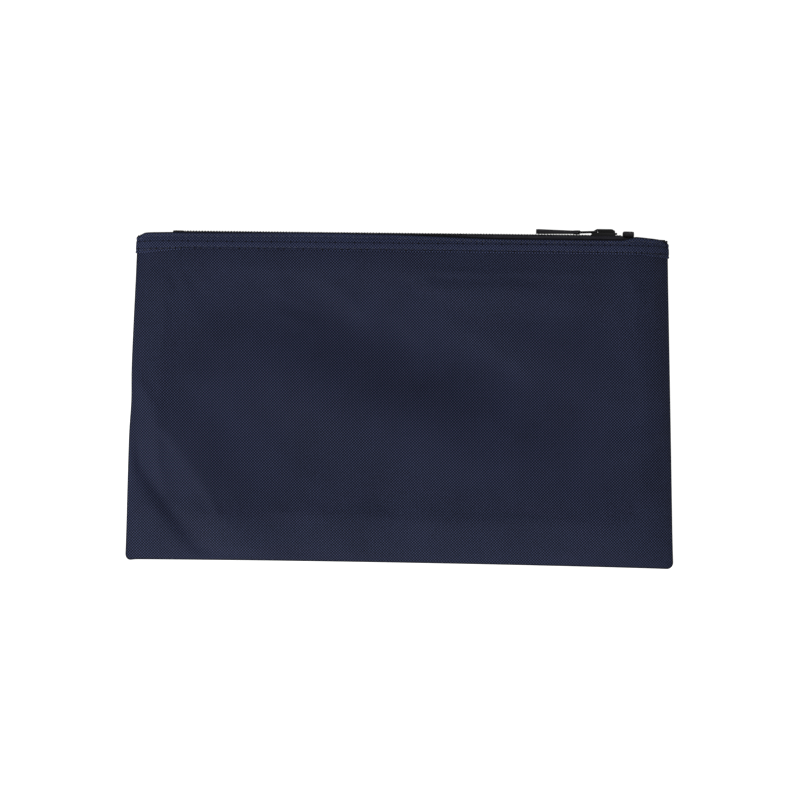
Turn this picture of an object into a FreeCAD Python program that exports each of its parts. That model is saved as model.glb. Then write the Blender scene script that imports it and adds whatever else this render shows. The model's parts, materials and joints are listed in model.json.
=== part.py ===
"""Cash deposit bag: a flat woven pouch with a coil zip along one long edge.

The bag lies on its back panel.  X runs along the zip, +Y points from the bottom seam to the zip,
and +Z points up through the bag's thickness.  The origin is on the resting face, below the middle
of the bag.  All sizes are in millimetres.
"""
import FreeCAD, Part
import math
import os

import Sketcher

SIZES = {
    # the bag's outline
    "top_width": 275.2,          # width along the zip
    "side_flare": 4.7,           # how much further out each side is at the bottom seam
    "bag_height": 171.5,         # bottom seam to the crest of the zip's coils
    "side_run": 19.0,            # width of the slope that rises from each side seam
    "bottom_run": 36.0,          # the same, from the bottom seam
    # cloth
    "fabric": 0.5,               # panel and band cloth
    "tape_thickness": 0.45,      # zip tape
    "tape_width": 10.0,          # zip tape lying under the panel
    "band_width": 7.05,          # facing band beside the zip
    "floor_relief": 0.3,         # the back band's lift, which keeps its stitches off the floor
    "ramp_run": 4.0,             # the back panel's rise to its band
    "ramp_setback": 1.0,         # top of that rise to the band
    "seam_allowance": 8.0,       # turned-in cloth along the three closed seams
    "binding_thickness": 0.25,
    "binding_lap": 3.0,          # binding lying on the seam allowance
    "binding_setback": 0.4,      # gap between the side and bottom bindings
    # thread
    "stitch_pitch": 3.3,
    "stitch_length": 2.4,
    "stitch_width": 0.55,
    "stitch_height": 0.25,
    "edge_row_inset": 1.5,       # upper row, from the band's zip edge
    "band_row_inset": 1.1,       # lower row, from the band's free edge
    "seam_row_inset": 2.0,       # closing row, from the folded seam
    # zip chain
    "coil_height": 2.0,
    "coil_width": 2.2,
    "coil_round": 0.7,
    "cord_bore": 1.0,            # hollow of the coil that holds its filler cord
    "cord_clearance": 0.05,
    "tape_gap": 1.6,             # way between the tapes and coils for the slider's post
    "chain_left_inset": 24.7,    # coils' cut ends, from the bag's sides
    "chain_right_inset": 23.8,
    "tack_length": 5.7,
    "tack_gap": 0.2,             # between a tack and the coils' cut ends
    "tack_width": 6.8,
    "right_tack_rise": 2.0,      # above the coils
    "left_tack_rise": 0.1,
    "tack_round": 0.6,
    # slider
    "slider_stop_gap": 2.9,      # nose of the slider to the coils' ends with the zip closed
    "slider_length": 12.9,
    "slider_width": 8.8,
    "slider_tail_width": 7.9,
    "slider_nose_length": 4.6,   # from the nose to the widest line
    "slider_clearance": 0.35,    # slider's sides to the folded tapes
    "slider_nose_width": 5.46,
    "slider_nose_run": 1.2,      # length of the nose's slanted sides
    "plate_nose_round": 0.6,
    "plate_thickness": 0.7,
    "plate_clearance": 0.15,     # outer plate over the coils
    "tape_slot_clearance": 0.25,
    "flange_thickness": 0.9,
    "flange_tail_thickness": 0.45,
    "post_width": 1.2,
    "post_length": 3.2,
    "post_setback": 0.6,
    "post_shoulder": 1.1,        # widest line of the post, from its nose end
    "post_tip_width": 0.3,
    "crown_length": 11.0,
    "crown_setback": 0.9,        # tail of the slider to the crown's foot
    "crown_width": 3.0,
    "crown_thickness": 0.95,
    "ring_play": 0.25,           # room round the ring's cross bar under the crown
    "crown_shoulder_run": 1.6,   # slanted ends of the crown's top
    "crown_shoulder_drop": 0.9,
    "crown_round": 1.0,
    "crown_cheek": 0.5,          # walls that close the crown's sides over the spring
    "crown_cheek_gap": 0.3,      # those walls to the ring's cross bar
    "spring_thickness": 0.25,
    "spring_width": 1.6,
    "spring_length": 5.0,
    "spring_flat": 1.7,          # part of the leaf that lies on the plate
    "spring_rise": 0.38,
    # ring and pull
    "wire_diameter": 0.9,
    "ring_length": 9.4,          # between the middles of the two cross bars
    "ring_inner_width": 5.2,
    "ring_corner": 1.1,          # bend radius at the wire's middle
    "ring_foot_gap": 0.15,       # cross bar to the crown's foot
    "ring_dip": 2.0,             # degrees that the resting ring leans towards the chain
    "pull_length": 22.0,         # from the far cross bar to the free end
    "pull_eye_clearance": 0.12,
    "pull_eye_wall": 0.42,
    "pull_side_clearance": 0.5,
    "pull_width": 6.0,
    "pull_neck_length": 3.4,
    "pull_thickness": 2.3,       # at the free end
    "pull_neck_thickness": 1.5,
    "pull_lift": 0.7,            # degrees that the resting pull leans away from the chain
    "pull_end_round": 2.2,
    "margin": 1.0,               # overshoot of every cutting shape
}

doc = FreeCAD.newDocument("cash_deposit_bag")
sheet = doc.addObject("Spreadsheet::Sheet", "sizes")
for row, (alias, number) in enumerate(SIZES.items(), start=1):
    sheet.set(f"A{row}", alias)
    sheet.set(f"B{row}", str(number))
    sheet.setAlias(f"B{row}", alias)
doc.recompute()

nodes = []


def value(expression):
    """Number that an expression on the sheet stands for."""
    result = sheet.evalExpression(expression)
    return float(getattr(result, "Value", result))


def minus(expression):
    return f"(-({expression}))"


# ---------------------------------------------------------------- places worked out from the sizes
bottom_y = "(-sizes.bag_height / 2)"
crest_y = "(sizes.bag_height / 2)"
zip_face = f"({crest_y} - sizes.coil_height)"            # outer face of the zip tapes
panel_edge = f"({zip_face} - sizes.tape_thickness)"      # zip edge of the panels and bands
band_low = f"({panel_edge} - sizes.band_width)"
ramp_top = f"({band_low} - sizes.ramp_setback)"
ramp_foot = f"({ramp_top} - sizes.ramp_run)"

flap_level = "(sizes.fabric)"                            # top of the flat back panel
fold_low = "(sizes.fabric * 2)"                          # back allowance ends, front one begins
flap_top = "(sizes.fabric * 3)"
back_band_low = "(sizes.floor_relief)"
back_panel_low = f"({back_band_low} + sizes.fabric)"
back_tape_low = f"({back_panel_low} + sizes.fabric)"
back_tape_top = f"({back_tape_low} + sizes.tape_thickness)"
chain_left = "(sizes.chain_left_inset - sizes.top_width / 2)"
chain_right = "(sizes.top_width / 2 - sizes.chain_right_inset)"
chain_z = f"({back_tape_top} + sizes.slider_clearance + sizes.slider_width / 2)"
front_tape_low = f"({chain_z} + sizes.slider_width / 2 + sizes.slider_clearance)"
front_tape_top = f"({front_tape_low} + sizes.tape_thickness)"
plateau = f"({front_tape_top} + sizes.fabric)"           # outer face of the raised front panel
band_top = f"({plateau} + sizes.fabric)"
edge_tape_top = f"({back_tape_top} + sizes.tape_thickness)"
fold_top = f"({edge_tape_top} + sizes.fabric)"           # outer face of the front at the side fold


def half_width(y):
    """Half of the bag's width at the height y, from the wide bottom to the narrow top."""
    share = f"(({y}) - {bottom_y}) / ({panel_edge} - {bottom_y})"
    return f"(sizes.top_width / 2 + sizes.side_flare * (1 - {share}))"


# ---------------------------------------------------------------- small building functions
def add_node(shape_object, name):
    shape_object.Label = name
    nodes.append(shape_object)
    return shape_object


def new_body(name):
    return doc.addObject("PartDesign::Body", name)


def plane_of(body, role):
    return next(item for item in body.Origin.OriginFeatures if item.Role == role)


def polygon_sketch(body, name, role, points, offset="0"):
    """Closed polygon on one of the body's own planes; its corners are expressions on the sheet."""
    sketch = body.newObject("Sketcher::SketchObject", name)
    sketch.AttachmentSupport = [(plane_of(body, role), "")]
    sketch.MapMode = "FlatFace"
    sketch.setExpression("AttachmentOffset.Base.z", offset)
    corners = [FreeCAD.Vector(value(across), value(along), 0) for across, along in points]
    count = len(corners)
    for index in range(count):
        sketch.addGeometry(Part.LineSegment(corners[index], corners[(index + 1) % count]), False)
    for index in range(count):
        sketch.addConstraint(Sketcher.Constraint("Coincident", index, 2, (index + 1) % count, 1))
    for index, (across, along) in enumerate(points):
        for kind, number, expression in (("DistanceX", corners[index].x, across),
                                         ("DistanceY", corners[index].y, along)):
            constraint = sketch.addConstraint(Sketcher.Constraint(kind, -1, 1, index, 1, number))
            sketch.setExpression(f"Constraints[{constraint}]", expression)
    return sketch


def circle_sketch(body, name, role, centre, radius, offset="0"):
    sketch = body.newObject("Sketcher::SketchObject", name)
    sketch.AttachmentSupport = [(plane_of(body, role), "")]
    sketch.MapMode = "FlatFace"
    sketch.setExpression("AttachmentOffset.Base.z", offset)
    middle = FreeCAD.Vector(value(centre[0]), value(centre[1]), 0)
    sketch.addGeometry(Part.Circle(middle, FreeCAD.Vector(0, 0, 1), value(radius)), False)
    bound = (("DistanceX", middle.x, centre[0]), ("DistanceY", middle.y, centre[1]))
    for kind, number, expression in bound:
        constraint = sketch.addConstraint(Sketcher.Constraint(kind, -1, 1, 0, 3, number))
        sketch.setExpression(f"Constraints[{constraint}]", expression)
    constraint = sketch.addConstraint(Sketcher.Constraint("Radius", 0, value(radius)))
    sketch.setExpression(f"Constraints[{constraint}]", radius)
    return sketch


def add_pad(body, sketch, length, both_ways=False):
    pad = body.newObject("PartDesign::Pad", sketch.Name + "_pad")
    pad.Profile = sketch
    pad.Midplane = both_ways
    pad.setExpression("Length", length)
    sketch.Visibility = False
    return pad


def add_pocket(body, sketch, length):
    pocket = body.newObject("PartDesign::Pocket", sketch.Name + "_pocket")
    pocket.Profile = sketch
    pocket.Midplane = True
    pocket.setExpression("Length", length)
    before = body.Shape.Volume
    doc.recompute()
    if pocket.Shape.Volume >= before:
        raise RuntimeError(f"{pocket.Name} removed nothing")
    return pocket


def xz_pad(body, name, points, y_high, depth):
    """Polygon in X and Z, padded from y_high towards -Y."""
    sketch = polygon_sketch(body, name, "XZ_Plane", points, minus(y_high))
    return add_pad(body, sketch, depth)


def xy_pad(body, name, points, z_low, depth):
    """Polygon in X and Y, padded upwards from z_low."""
    return add_pad(body, polygon_sketch(body, name, "XY_Plane", points, z_low), depth)


def yz_pad(body, name, points, length, middle="0"):
    """Polygon in Y and Z, padded both ways along X."""
    return add_pad(body, polygon_sketch(body, name, "YZ_Plane", points, middle), length, True)


def boolean(kind, name, base, tool):
    result = doc.addObject(kind, name)
    if kind == "Part::Cut":
        result.Base = base
        result.Tool = tool
    else:
        result.Shapes = [base, tool]
    base.Visibility = False
    tool.Visibility = False
    return result


def box_corners(x_low, x_high, y_low, y_high):
    return [(x_low, y_low), (x_high, y_low), (x_high, y_high), (x_low, y_high)]


def round_edges(body, name, picks, radius):
    """Fillet the body's edges that the test picks out."""
    doc.recompute()
    base = body.Tip
    chosen = [f"Edge{number}" for number, edge in enumerate(base.Shape.Edges, start=1)
              if picks(edge)]
    if not chosen:
        raise RuntimeError(f"{name} found no edges")
    fillet = body.newObject("PartDesign::Fillet", name)
    fillet.Base = (base, chosen)
    fillet.setExpression("Radius", radius)
    doc.recompute()
    return fillet


def runs_along(edge, direction):
    if not isinstance(edge.Curve, Part.Line):
        return False
    return abs(edge.Curve.Direction.dot(direction)) > 0.999


X_AXIS = FreeCAD.Vector(1, 0, 0)
Y_AXIS = FreeCAD.Vector(0, 1, 0)
Z_AXIS = FreeCAD.Vector(0, 0, 1)


# ---------------------------------------------------------------- panels
def raised_solid(name, shrink, drop, low):
    """Loft of the raised front: a plateau with slopes at the sides and at the bottom."""
    body = new_body(name)
    sections = []
    for place, y in (("zip", panel_edge), ("bottom", bottom_y)):
        outer = f"({half_width(y)} - {shrink})"
        shoulder = f"({half_width(y)} - sizes.side_run)"
        side_z = f"({fold_top} - {drop})"
        top_z = f"({plateau} - {drop})"
        points = [(minus(outer), low), (outer, low), (outer, side_z),
                  (shoulder, top_z), (minus(shoulder), top_z), (minus(outer), side_z)]
        sections.append(polygon_sketch(body, f"{name}_{place}", "XZ_Plane", points, minus(y)))
    loft = body.newObject("PartDesign::AdditiveLoft", f"{name}_loft")
    loft.Profile = sections[0]
    loft.Sections = [sections[1]]
    loft.Ruled = True
    doc.recompute()
    edge_y = f"({bottom_y} + {shrink})"
    side_z = f"({fold_top} - {drop})"
    over = f"({plateau} + sizes.margin)"
    outside = f"({bottom_y} - sizes.margin)"
    slope_end = f"({bottom_y} + sizes.bottom_run)"
    slope = [(outside, minus("sizes.margin")), (edge_y, minus("sizes.margin")), (edge_y, side_z),
             (slope_end, f"({plateau} - {drop})"), (slope_end, over), (outside, over)]
    cutter = polygon_sketch(body, f"{name}_slope", "YZ_Plane", slope)
    add_pocket(body, cutter, "sizes.top_width + 2 * (sizes.side_flare + sizes.margin)")
    return body


def allowance_window(name, z_low, depth):
    """Everything inside the seam allowances, open towards the zip."""
    body = new_body(name)
    low = f"({bottom_y} + sizes.seam_allowance)"
    high = f"({panel_edge} + sizes.margin)"
    lower = f"({half_width(low)} - sizes.seam_allowance)"
    upper = f"({half_width(high)} - sizes.seam_allowance)"
    points = [(minus(lower), low), (lower, low), (upper, high), (minus(upper), high)]
    xy_pad(body, f"{name}_outline", points, z_low, depth)
    return body


def make_front_panel():
    outer = raised_solid("front_outer", "0", "0", fold_low)
    inner = raised_solid("front_inner", "sizes.fabric", "sizes.fabric", flap_top)
    window = allowance_window("front_window", f"({fold_low} - sizes.margin)",
                              "sizes.fabric + 2 * sizes.margin")
    relief = new_body("front_zip_relief")
    wide = "(sizes.top_width / 2 + sizes.side_flare + sizes.margin)"
    corners = box_corners(minus(wide), wide, ramp_foot, f"({panel_edge} + sizes.margin)")
    xy_pad(relief, "front_zip_relief_outline", corners, f"({fold_low} - sizes.margin)",
           f"{back_tape_top} - {fold_low} + sizes.margin")
    hollow = boolean("Part::Cut", "front_hollow", outer, inner)
    framed = boolean("Part::Cut", "front_framed", hollow, window)
    add_node(boolean("Part::Cut", "front_panel_cut", framed, relief), "front_panel")


def make_back_panel():
    sheet_body = new_body("back_sheet")
    profile = [(bottom_y, "0"), (ramp_foot, "0"), (ramp_top, back_panel_low),
               (panel_edge, back_panel_low), (panel_edge, back_tape_low),
               (ramp_top, back_tape_low), (ramp_foot, flap_level), (bottom_y, flap_level)]
    yz_pad(sheet_body, "back_sheet_profile", profile, "sizes.top_width + 2 * (sizes.side_flare + sizes.margin)")
    outline = new_body("back_outline")
    lower = half_width(bottom_y)
    upper = half_width(panel_edge)
    corners = [(minus(lower), bottom_y), (lower, bottom_y), (upper, panel_edge),
               (minus(upper), panel_edge)]
    xy_pad(outline, "back_outline_corners", corners, minus("sizes.margin"),
           f"{back_tape_low} + 2 * sizes.margin")
    trimmed = boolean("Part::MultiCommon", "back_trimmed", sheet_body, outline)
    allowance = new_body("back_allowance")
    end = half_width(ramp_foot)
    inner_y = f"({bottom_y} + sizes.seam_allowance)"
    inner_low = f"({half_width(inner_y)} - sizes.seam_allowance)"
    inner_end = f"({end} - sizes.seam_allowance)"
    ring = [(minus(lower), bottom_y), (lower, bottom_y), (end, ramp_foot),
            (inner_end, ramp_foot), (inner_low, inner_y), (minus(inner_low), inner_y),
            (minus(inner_end), ramp_foot), (minus(end), ramp_foot)]
    xy_pad(allowance, "back_allowance_ring", ring, flap_level, "sizes.fabric")
    add_node(boolean("Part::MultiFuse", "back_panel_fuse", trimmed, allowance), "back_panel")


# ---------------------------------------------------------------- bands and tapes
def strip_points(end_x, shoulder_x, end_z, top_z, depth):
    """Cloth strip in X and Z that climbs from each end to a plateau."""
    upper = [(end_x, end_z), (shoulder_x, top_z), (minus(shoulder_x), top_z),
             (minus(end_x), end_z)]
    lower = [(across, f"({height} - {depth})") for across, height in reversed(upper)]
    return upper + lower


def make_bands():
    body = new_body("front_band_body")
    end_x = half_width(band_low)
    shoulder = f"({end_x} - sizes.side_run)"
    points = strip_points(end_x, shoulder, f"({fold_top} + sizes.fabric)", band_top,
                          "sizes.fabric")
    xz_pad(body, "front_band_profile", points, panel_edge, "sizes.band_width")
    add_node(body, "front_zip_band")
    body = new_body("back_band_body")
    end_x = half_width(panel_edge)
    points = box_corners(minus(end_x), end_x, band_low, panel_edge)
    xy_pad(body, "back_band_profile", points, back_band_low, "sizes.fabric")
    add_node(body, "back_zip_band")


def make_tapes():
    end_x = f"({half_width(panel_edge)} - sizes.fabric)"
    shoulder = f"({half_width(panel_edge)} - sizes.side_run)"
    body = new_body("front_tape_body")
    flat = strip_points(end_x, shoulder, edge_tape_top, front_tape_top, "sizes.tape_thickness")
    xz_pad(body, "front_tape_flat", flat, panel_edge, "sizes.tape_width")
    lip_z = f"({chain_z} + sizes.tape_gap / 2)"
    lip = [(end_x, edge_tape_top), (shoulder, front_tape_top),
           (minus(shoulder), front_tape_top), (minus(end_x), edge_tape_top),
           (minus(end_x), back_tape_top), (minus(shoulder), lip_z), (shoulder, lip_z),
           (end_x, back_tape_top)]
    xz_pad(body, "front_tape_lip", lip, zip_face, "sizes.tape_thickness")
    add_node(body, "front_zip_tape")
    body = new_body("back_tape_body")
    flat = [(minus(end_x), back_tape_low), (end_x, back_tape_low), (end_x, back_tape_top),
            (minus(end_x), back_tape_top)]
    xz_pad(body, "back_tape_flat", flat, panel_edge, "sizes.tape_width")
    lip_z = f"({chain_z} - sizes.tape_gap / 2)"
    lip = [(minus(end_x), back_tape_low), (end_x, back_tape_low), (end_x, back_tape_top),
           (shoulder, lip_z), (minus(shoulder), lip_z), (minus(end_x), back_tape_top)]
    xz_pad(body, "back_tape_lip", lip, zip_face, "sizes.tape_thickness")
    add_node(body, "back_zip_tape")


# ---------------------------------------------------------------- zip chain
def make_coil(side, sign):
    """Coil of one tape: a rounded tube, with the filler cord in its hollow."""
    near = f"({chain_z} {sign} sizes.tape_gap / 2)"
    far = f"({near} {sign} sizes.coil_width)"
    middle_z = f"(({near} + {far}) / 2)"
    middle_y = f"({zip_face} + sizes.coil_height / 2)"
    length = f"{chain_right} - {chain_left}"
    middle_x = f"({chain_right} + {chain_left}) / 2"
    body = new_body(f"{side}_coil_body")
    corners = box_corners(zip_face, crest_y, near, far)
    yz_pad(body, f"{side}_coil_section", corners, length, middle_x)
    round_edges(body, f"{side}_coil_round", lambda edge: runs_along(edge, X_AXIS),
                "sizes.coil_round")
    bore = circle_sketch(body, f"{side}_coil_bore", "YZ_Plane", (middle_y, middle_z),
                         "sizes.cord_bore / 2", middle_x)
    add_pocket(body, bore, f"{length} + 2 * sizes.margin")
    add_node(body, f"{side}_coil")
    cord = doc.addObject("Part::Cylinder", f"{side}_cord")
    cord.setExpression("Radius", "sizes.cord_bore / 2 - sizes.cord_clearance")
    cord.setExpression("Height", length)
    cord.Placement.Rotation = FreeCAD.Rotation(Y_AXIS, 90)
    cord.setExpression("Placement.Base.x", chain_left)
    cord.setExpression("Placement.Base.y", middle_y)
    cord.setExpression("Placement.Base.z", middle_z)
    add_node(cord, f"{side}_coil_cord")


def make_tack(name, x_low, rise):
    """Dense thread tack across the chain, which stops the slider."""
    body = new_body(f"{name}_body")
    points = [(zip_face, f"({chain_z} - sizes.tack_width / 2)"),
              (f"({crest_y} + {rise})", f"({chain_z} - sizes.tack_width / 2)"),
              (f"({crest_y} + {rise})", f"({chain_z} + sizes.tack_width / 2)"),
              (zip_face, f"({chain_z} + sizes.tack_width / 2)")]
    yz_pad(body, f"{name}_section", points, "sizes.tack_length",
           f"{x_low} + sizes.tack_length / 2")
    top = value(f"{crest_y} + {rise}")
    round_edges(body, f"{name}_round", lambda edge: abs(edge.CenterOfMass.y - top) < 1e-4,
                "sizes.tack_round")
    add_node(body, name)


# ---------------------------------------------------------------- thread
def tilted_stitch(x, y, z, slope):
    """One stitch lying on cloth that climbs at the slope (rise over run) along X."""
    long = value("sizes.stitch_length")
    wide = value("sizes.stitch_width")
    tall = value("sizes.stitch_height")
    stitch = Part.makeBox(long, wide, tall, FreeCAD.Vector(-long / 2, -wide / 2, 0))
    edges = [edge for edge in stitch.Edges if edge.CenterOfMass.z > tall * 0.9
             and not runs_along(edge, Y_AXIS)]
    stitch = stitch.makeFillet(tall * 0.6, edges)
    turn = FreeCAD.Rotation(Y_AXIS, -math.degrees(math.atan(slope)))
    stitch.Placement = FreeCAD.Placement(FreeCAD.Vector(x, y, z), turn)
    return stitch


def add_thread(name, stitches):
    thread = doc.addObject("Part::Feature", name + "_stitches")
    thread.Shape = Part.makeCompound(stitches)
    thread.Placement = FreeCAD.Placement()
    add_node(thread, name)


def row_places(low, high):
    pitch = value("sizes.stitch_pitch")
    count = int((high - low - value("sizes.stitch_length")) // pitch) + 1
    start = (low + high - (count - 1) * pitch) / 2
    return [start + number * pitch for number in range(count)]


def make_band_rows():
    """Two rows of stitches on each band; the front rows follow the band down to the seams."""
    inset = value("sizes.stitch_pitch")
    rows = {"edge": value(f"{panel_edge} - sizes.edge_row_inset"),
            "band": value(f"{band_low} + sizes.band_row_inset")}
    end = value(half_width(band_low))
    shoulder = end - value("sizes.side_run")
    top = value(band_top)
    slope = (top - value(f"{fold_top} + sizes.fabric")) / value("sizes.side_run")
    reach = value("sizes.stitch_length") / 2
    for row, y in rows.items():
        front = []
        back = []
        for x in row_places(-value(half_width(panel_edge)) + inset,
                            value(half_width(panel_edge)) - inset):
            past = abs(x) - shoulder
            if past > reach:
                climb = -math.copysign(slope, x)
                front.append(tilted_stitch(x, y, top - past * slope, climb))
            elif past < -reach:
                front.append(tilted_stitch(x, y, top, 0))
            under = tilted_stitch(x, y, 0, 0)
            under = under.mirror(FreeCAD.Vector(), Z_AXIS)
            under.translate(FreeCAD.Vector(0, 0, value(back_band_low)))
            back.append(under)
        add_thread(f"front_{row}_stitching", front)
        add_thread(f"back_{row}_stitching", back)


def seam_stitch(x, y, angle):
    stitch = tilted_stitch(0, 0, 0, 0)
    turn = FreeCAD.Rotation(Z_AXIS, angle)
    place = FreeCAD.Placement(FreeCAD.Vector(x, y, value(flap_top)), turn)
    stitch.Placement = place.multiply(stitch.Placement)
    return stitch


def make_seam_rows():
    """Closing row inside each turned seam, lying on the allowances."""
    inset = value("sizes.seam_row_inset")
    low = value(bottom_y) + inset
    high = value(ramp_foot) - inset
    lean = math.degrees(math.atan((value(half_width(bottom_y)) - value(half_width(ramp_foot)))
                                  / (value(ramp_foot) - value(bottom_y))))
    clear = value("sizes.stitch_pitch")
    for side, sign in (("left", -1), ("right", 1)):
        stitches = []
        for y in row_places(low + clear, high):
            x = sign * (value(half_width(str(y))) - inset)
            stitches.append(seam_stitch(x, y, 90 + sign * lean))
        add_thread(f"{side}_seam_thread", stitches)
    end = value(half_width(bottom_y)) - inset
    add_thread("bottom_seam_thread", [seam_stitch(x, low, 0) for x in row_places(-end, end)])


def make_bindings():
    """Narrow tape folded over the raw edges of each pair of allowances."""
    corner_y = f"({bottom_y} + sizes.seam_allowance)"
    rise = f"{flap_top} + sizes.binding_thickness - {flap_level}"
    for side, sign in (("left", "-"), ("right", "")):
        body = new_body(f"{side}_binding_body")
        low = f"({corner_y} + sizes.binding_thickness + sizes.binding_setback)"
        low_x = f"({half_width(low)} - sizes.seam_allowance)"
        high_x = f"({half_width(ramp_foot)} - sizes.seam_allowance)"
        leg = [(f"{sign}({low_x} - sizes.binding_thickness)", low), (f"{sign}{low_x}", low),
               (f"{sign}{high_x}", ramp_foot),
               (f"{sign}({high_x} - sizes.binding_thickness)", ramp_foot)]
        xy_pad(body, f"{side}_binding_leg", leg, flap_level, rise)
        lap = [leg[0], (f"{sign}({low_x} + sizes.binding_lap)", low),
               (f"{sign}({high_x} + sizes.binding_lap)", ramp_foot), leg[3]]
        xy_pad(body, f"{side}_binding_lap", lap, flap_top, "sizes.binding_thickness")
        add_node(body, f"{side}_seam_binding")
    body = new_body("bottom_binding_body")
    inner_y = f"({corner_y} + sizes.binding_thickness)"
    end_x = f"({half_width(inner_y)} - sizes.seam_allowance)"
    leg = box_corners(minus(end_x), end_x, corner_y, inner_y)
    xy_pad(body, "bottom_binding_leg", leg, flap_level, rise)
    lap = box_corners(minus(end_x), end_x, f"({corner_y} - sizes.binding_lap)", inner_y)
    xy_pad(body, "bottom_binding_lap", lap, flap_top, "sizes.binding_thickness")
    add_node(body, "bottom_seam_binding")


# ---------------------------------------------------------------- slider
slider_right = f"({chain_right} - sizes.slider_stop_gap)"
slider_left = f"({slider_right} - sizes.slider_length)"
outer_plate_low = f"({crest_y} + sizes.plate_clearance)"
outer_plate_top = f"({outer_plate_low} + sizes.plate_thickness)"
inner_plate_top = f"({panel_edge} - sizes.tape_slot_clearance)"
inner_plate_low = f"({inner_plate_top} - sizes.plate_thickness)"
crown_left = f"({slider_left} + sizes.crown_setback)"
crown_right = f"({crown_left} + sizes.crown_length)"
crown_gap = "(sizes.wire_diameter + sizes.ring_play)"
crown_top = f"({outer_plate_top} + {crown_gap} + sizes.crown_thickness)"
pivot_x = f"({crown_left} + sizes.crown_thickness + sizes.ring_foot_gap + sizes.wire_diameter / 2)"
pivot_y = f"({outer_plate_top} + {crown_gap} / 2)"
pull_x = f"({pivot_x} - sizes.ring_length)"


def plate_points():
    """Slider plate in X and Z: a narrow tail, then wide shoulders and a blunt nose."""
    wide_x = f"({slider_right} - sizes.slider_nose_length)"
    nose_x = f"({slider_right} - sizes.slider_nose_run)"
    nose = "(sizes.slider_nose_width / 2)"
    half = "(sizes.slider_width / 2)"
    tail = "(sizes.slider_tail_width / 2)"
    upper = [(slider_left, tail), (wide_x, half), (nose_x, half), (slider_right, nose)]
    front = [(across, f"({chain_z} + {offset})") for across, offset in upper]
    back = [(across, f"({chain_z} - {offset})") for across, offset in reversed(upper)]
    return front + back


def make_slider_body():
    body = new_body("slider_solid")
    xz_pad(body, "outer_plate", plate_points(), outer_plate_top, "sizes.plate_thickness")
    round_edges(body, "outer_plate_round",
                lambda edge: runs_along(edge, Y_AXIS) and edge.CenterOfMass.x
                > value(f"{slider_right} - sizes.slider_nose_length / 2"),
                "sizes.plate_nose_round")
    xz_pad(body, "inner_plate", plate_points(), inner_plate_top, "sizes.plate_thickness")
    post_right = f"({slider_right} - sizes.post_setback)"
    post_left = f"({post_right} - sizes.post_length)"
    post_middle = f"({post_right} - sizes.post_shoulder)"
    half = "(sizes.post_width / 2)"
    tip = "(sizes.post_tip_width / 2)"
    post = [(post_left, f"({chain_z} - {tip})"), (post_middle, f"({chain_z} - {half})"),
            (post_right, f"({chain_z} - {half} / 2)"), (post_right, f"({chain_z} + {half} / 2)"),
            (post_middle, f"({chain_z} + {half})"), (post_left, f"({chain_z} + {tip})")]
    xz_pad(body, "post", post, outer_plate_low, f"{outer_plate_low} - {inner_plate_top}")
    flange_depth = f"{outer_plate_low} - {zip_face} - sizes.tape_slot_clearance"
    wide_x = f"({slider_right} - sizes.slider_nose_length)"
    nose_x = f"({slider_right} - sizes.slider_nose_run)"
    tail = "(sizes.slider_tail_width / 2)"
    outside = "(sizes.slider_width / 2)"
    for side, sign in (("front", "+"), ("back", "-")):
        flange = [(slider_left, f"({chain_z} {sign} {tail})"),
                  (wide_x, f"({chain_z} {sign} {outside})"),
                  (nose_x, f"({chain_z} {sign} {outside})"),
                  (nose_x, f"({chain_z} {sign} ({outside} - sizes.flange_thickness))"),
                  (wide_x, f"({chain_z} {sign} ({outside} - sizes.flange_thickness))"),
                  (slider_left, f"({chain_z} {sign} ({tail} - sizes.flange_tail_thickness))")]
        xz_pad(body, f"{side}_flange", flange, outer_plate_low, flange_depth)
    add_node(body, "slider_body")


def make_crown():
    """Arch over the outer plate: it holds the ring's cross bar and covers the lock spring."""
    body = new_body("crown_solid")
    under = f"({crown_top} - sizes.crown_thickness)"
    foot_left = f"({crown_left} + sizes.crown_thickness)"
    foot_right = f"({crown_right} - sizes.crown_thickness)"
    shoulder = f"({crown_top} - sizes.crown_shoulder_drop)"
    arch = [(crown_left, outer_plate_top), (foot_left, outer_plate_top), (foot_left, under),
            (foot_right, under), (foot_right, outer_plate_top), (crown_right, outer_plate_top),
            (crown_right, shoulder), (f"({crown_right} - sizes.crown_shoulder_run)", crown_top),
            (f"({crown_left} + sizes.crown_shoulder_run)", crown_top), (crown_left, shoulder)]
    sketch = polygon_sketch(body, "crown_arch", "XY_Plane", arch, chain_z)
    add_pad(body, sketch, "sizes.crown_width", True)
    top = value(crown_top)
    round_edges(body, "crown_round", lambda edge: runs_along(edge, Z_AXIS)
                and abs(edge.CenterOfMass.y - top) < 1e-4, "sizes.crown_round")
    cheek_left = f"({pivot_x} + sizes.wire_diameter / 2 + sizes.crown_cheek_gap)"
    cheek = box_corners(cheek_left, foot_right, outer_plate_top, under)
    for side, z_low in (("front", f"({chain_z} + sizes.crown_width / 2 - sizes.crown_cheek)"),
                        ("back", f"({chain_z} - sizes.crown_width / 2)")):
        xy_pad(body, f"{side}_cheek", cheek, z_low, "sizes.crown_cheek")
    add_node(body, "slider_crown")


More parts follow.
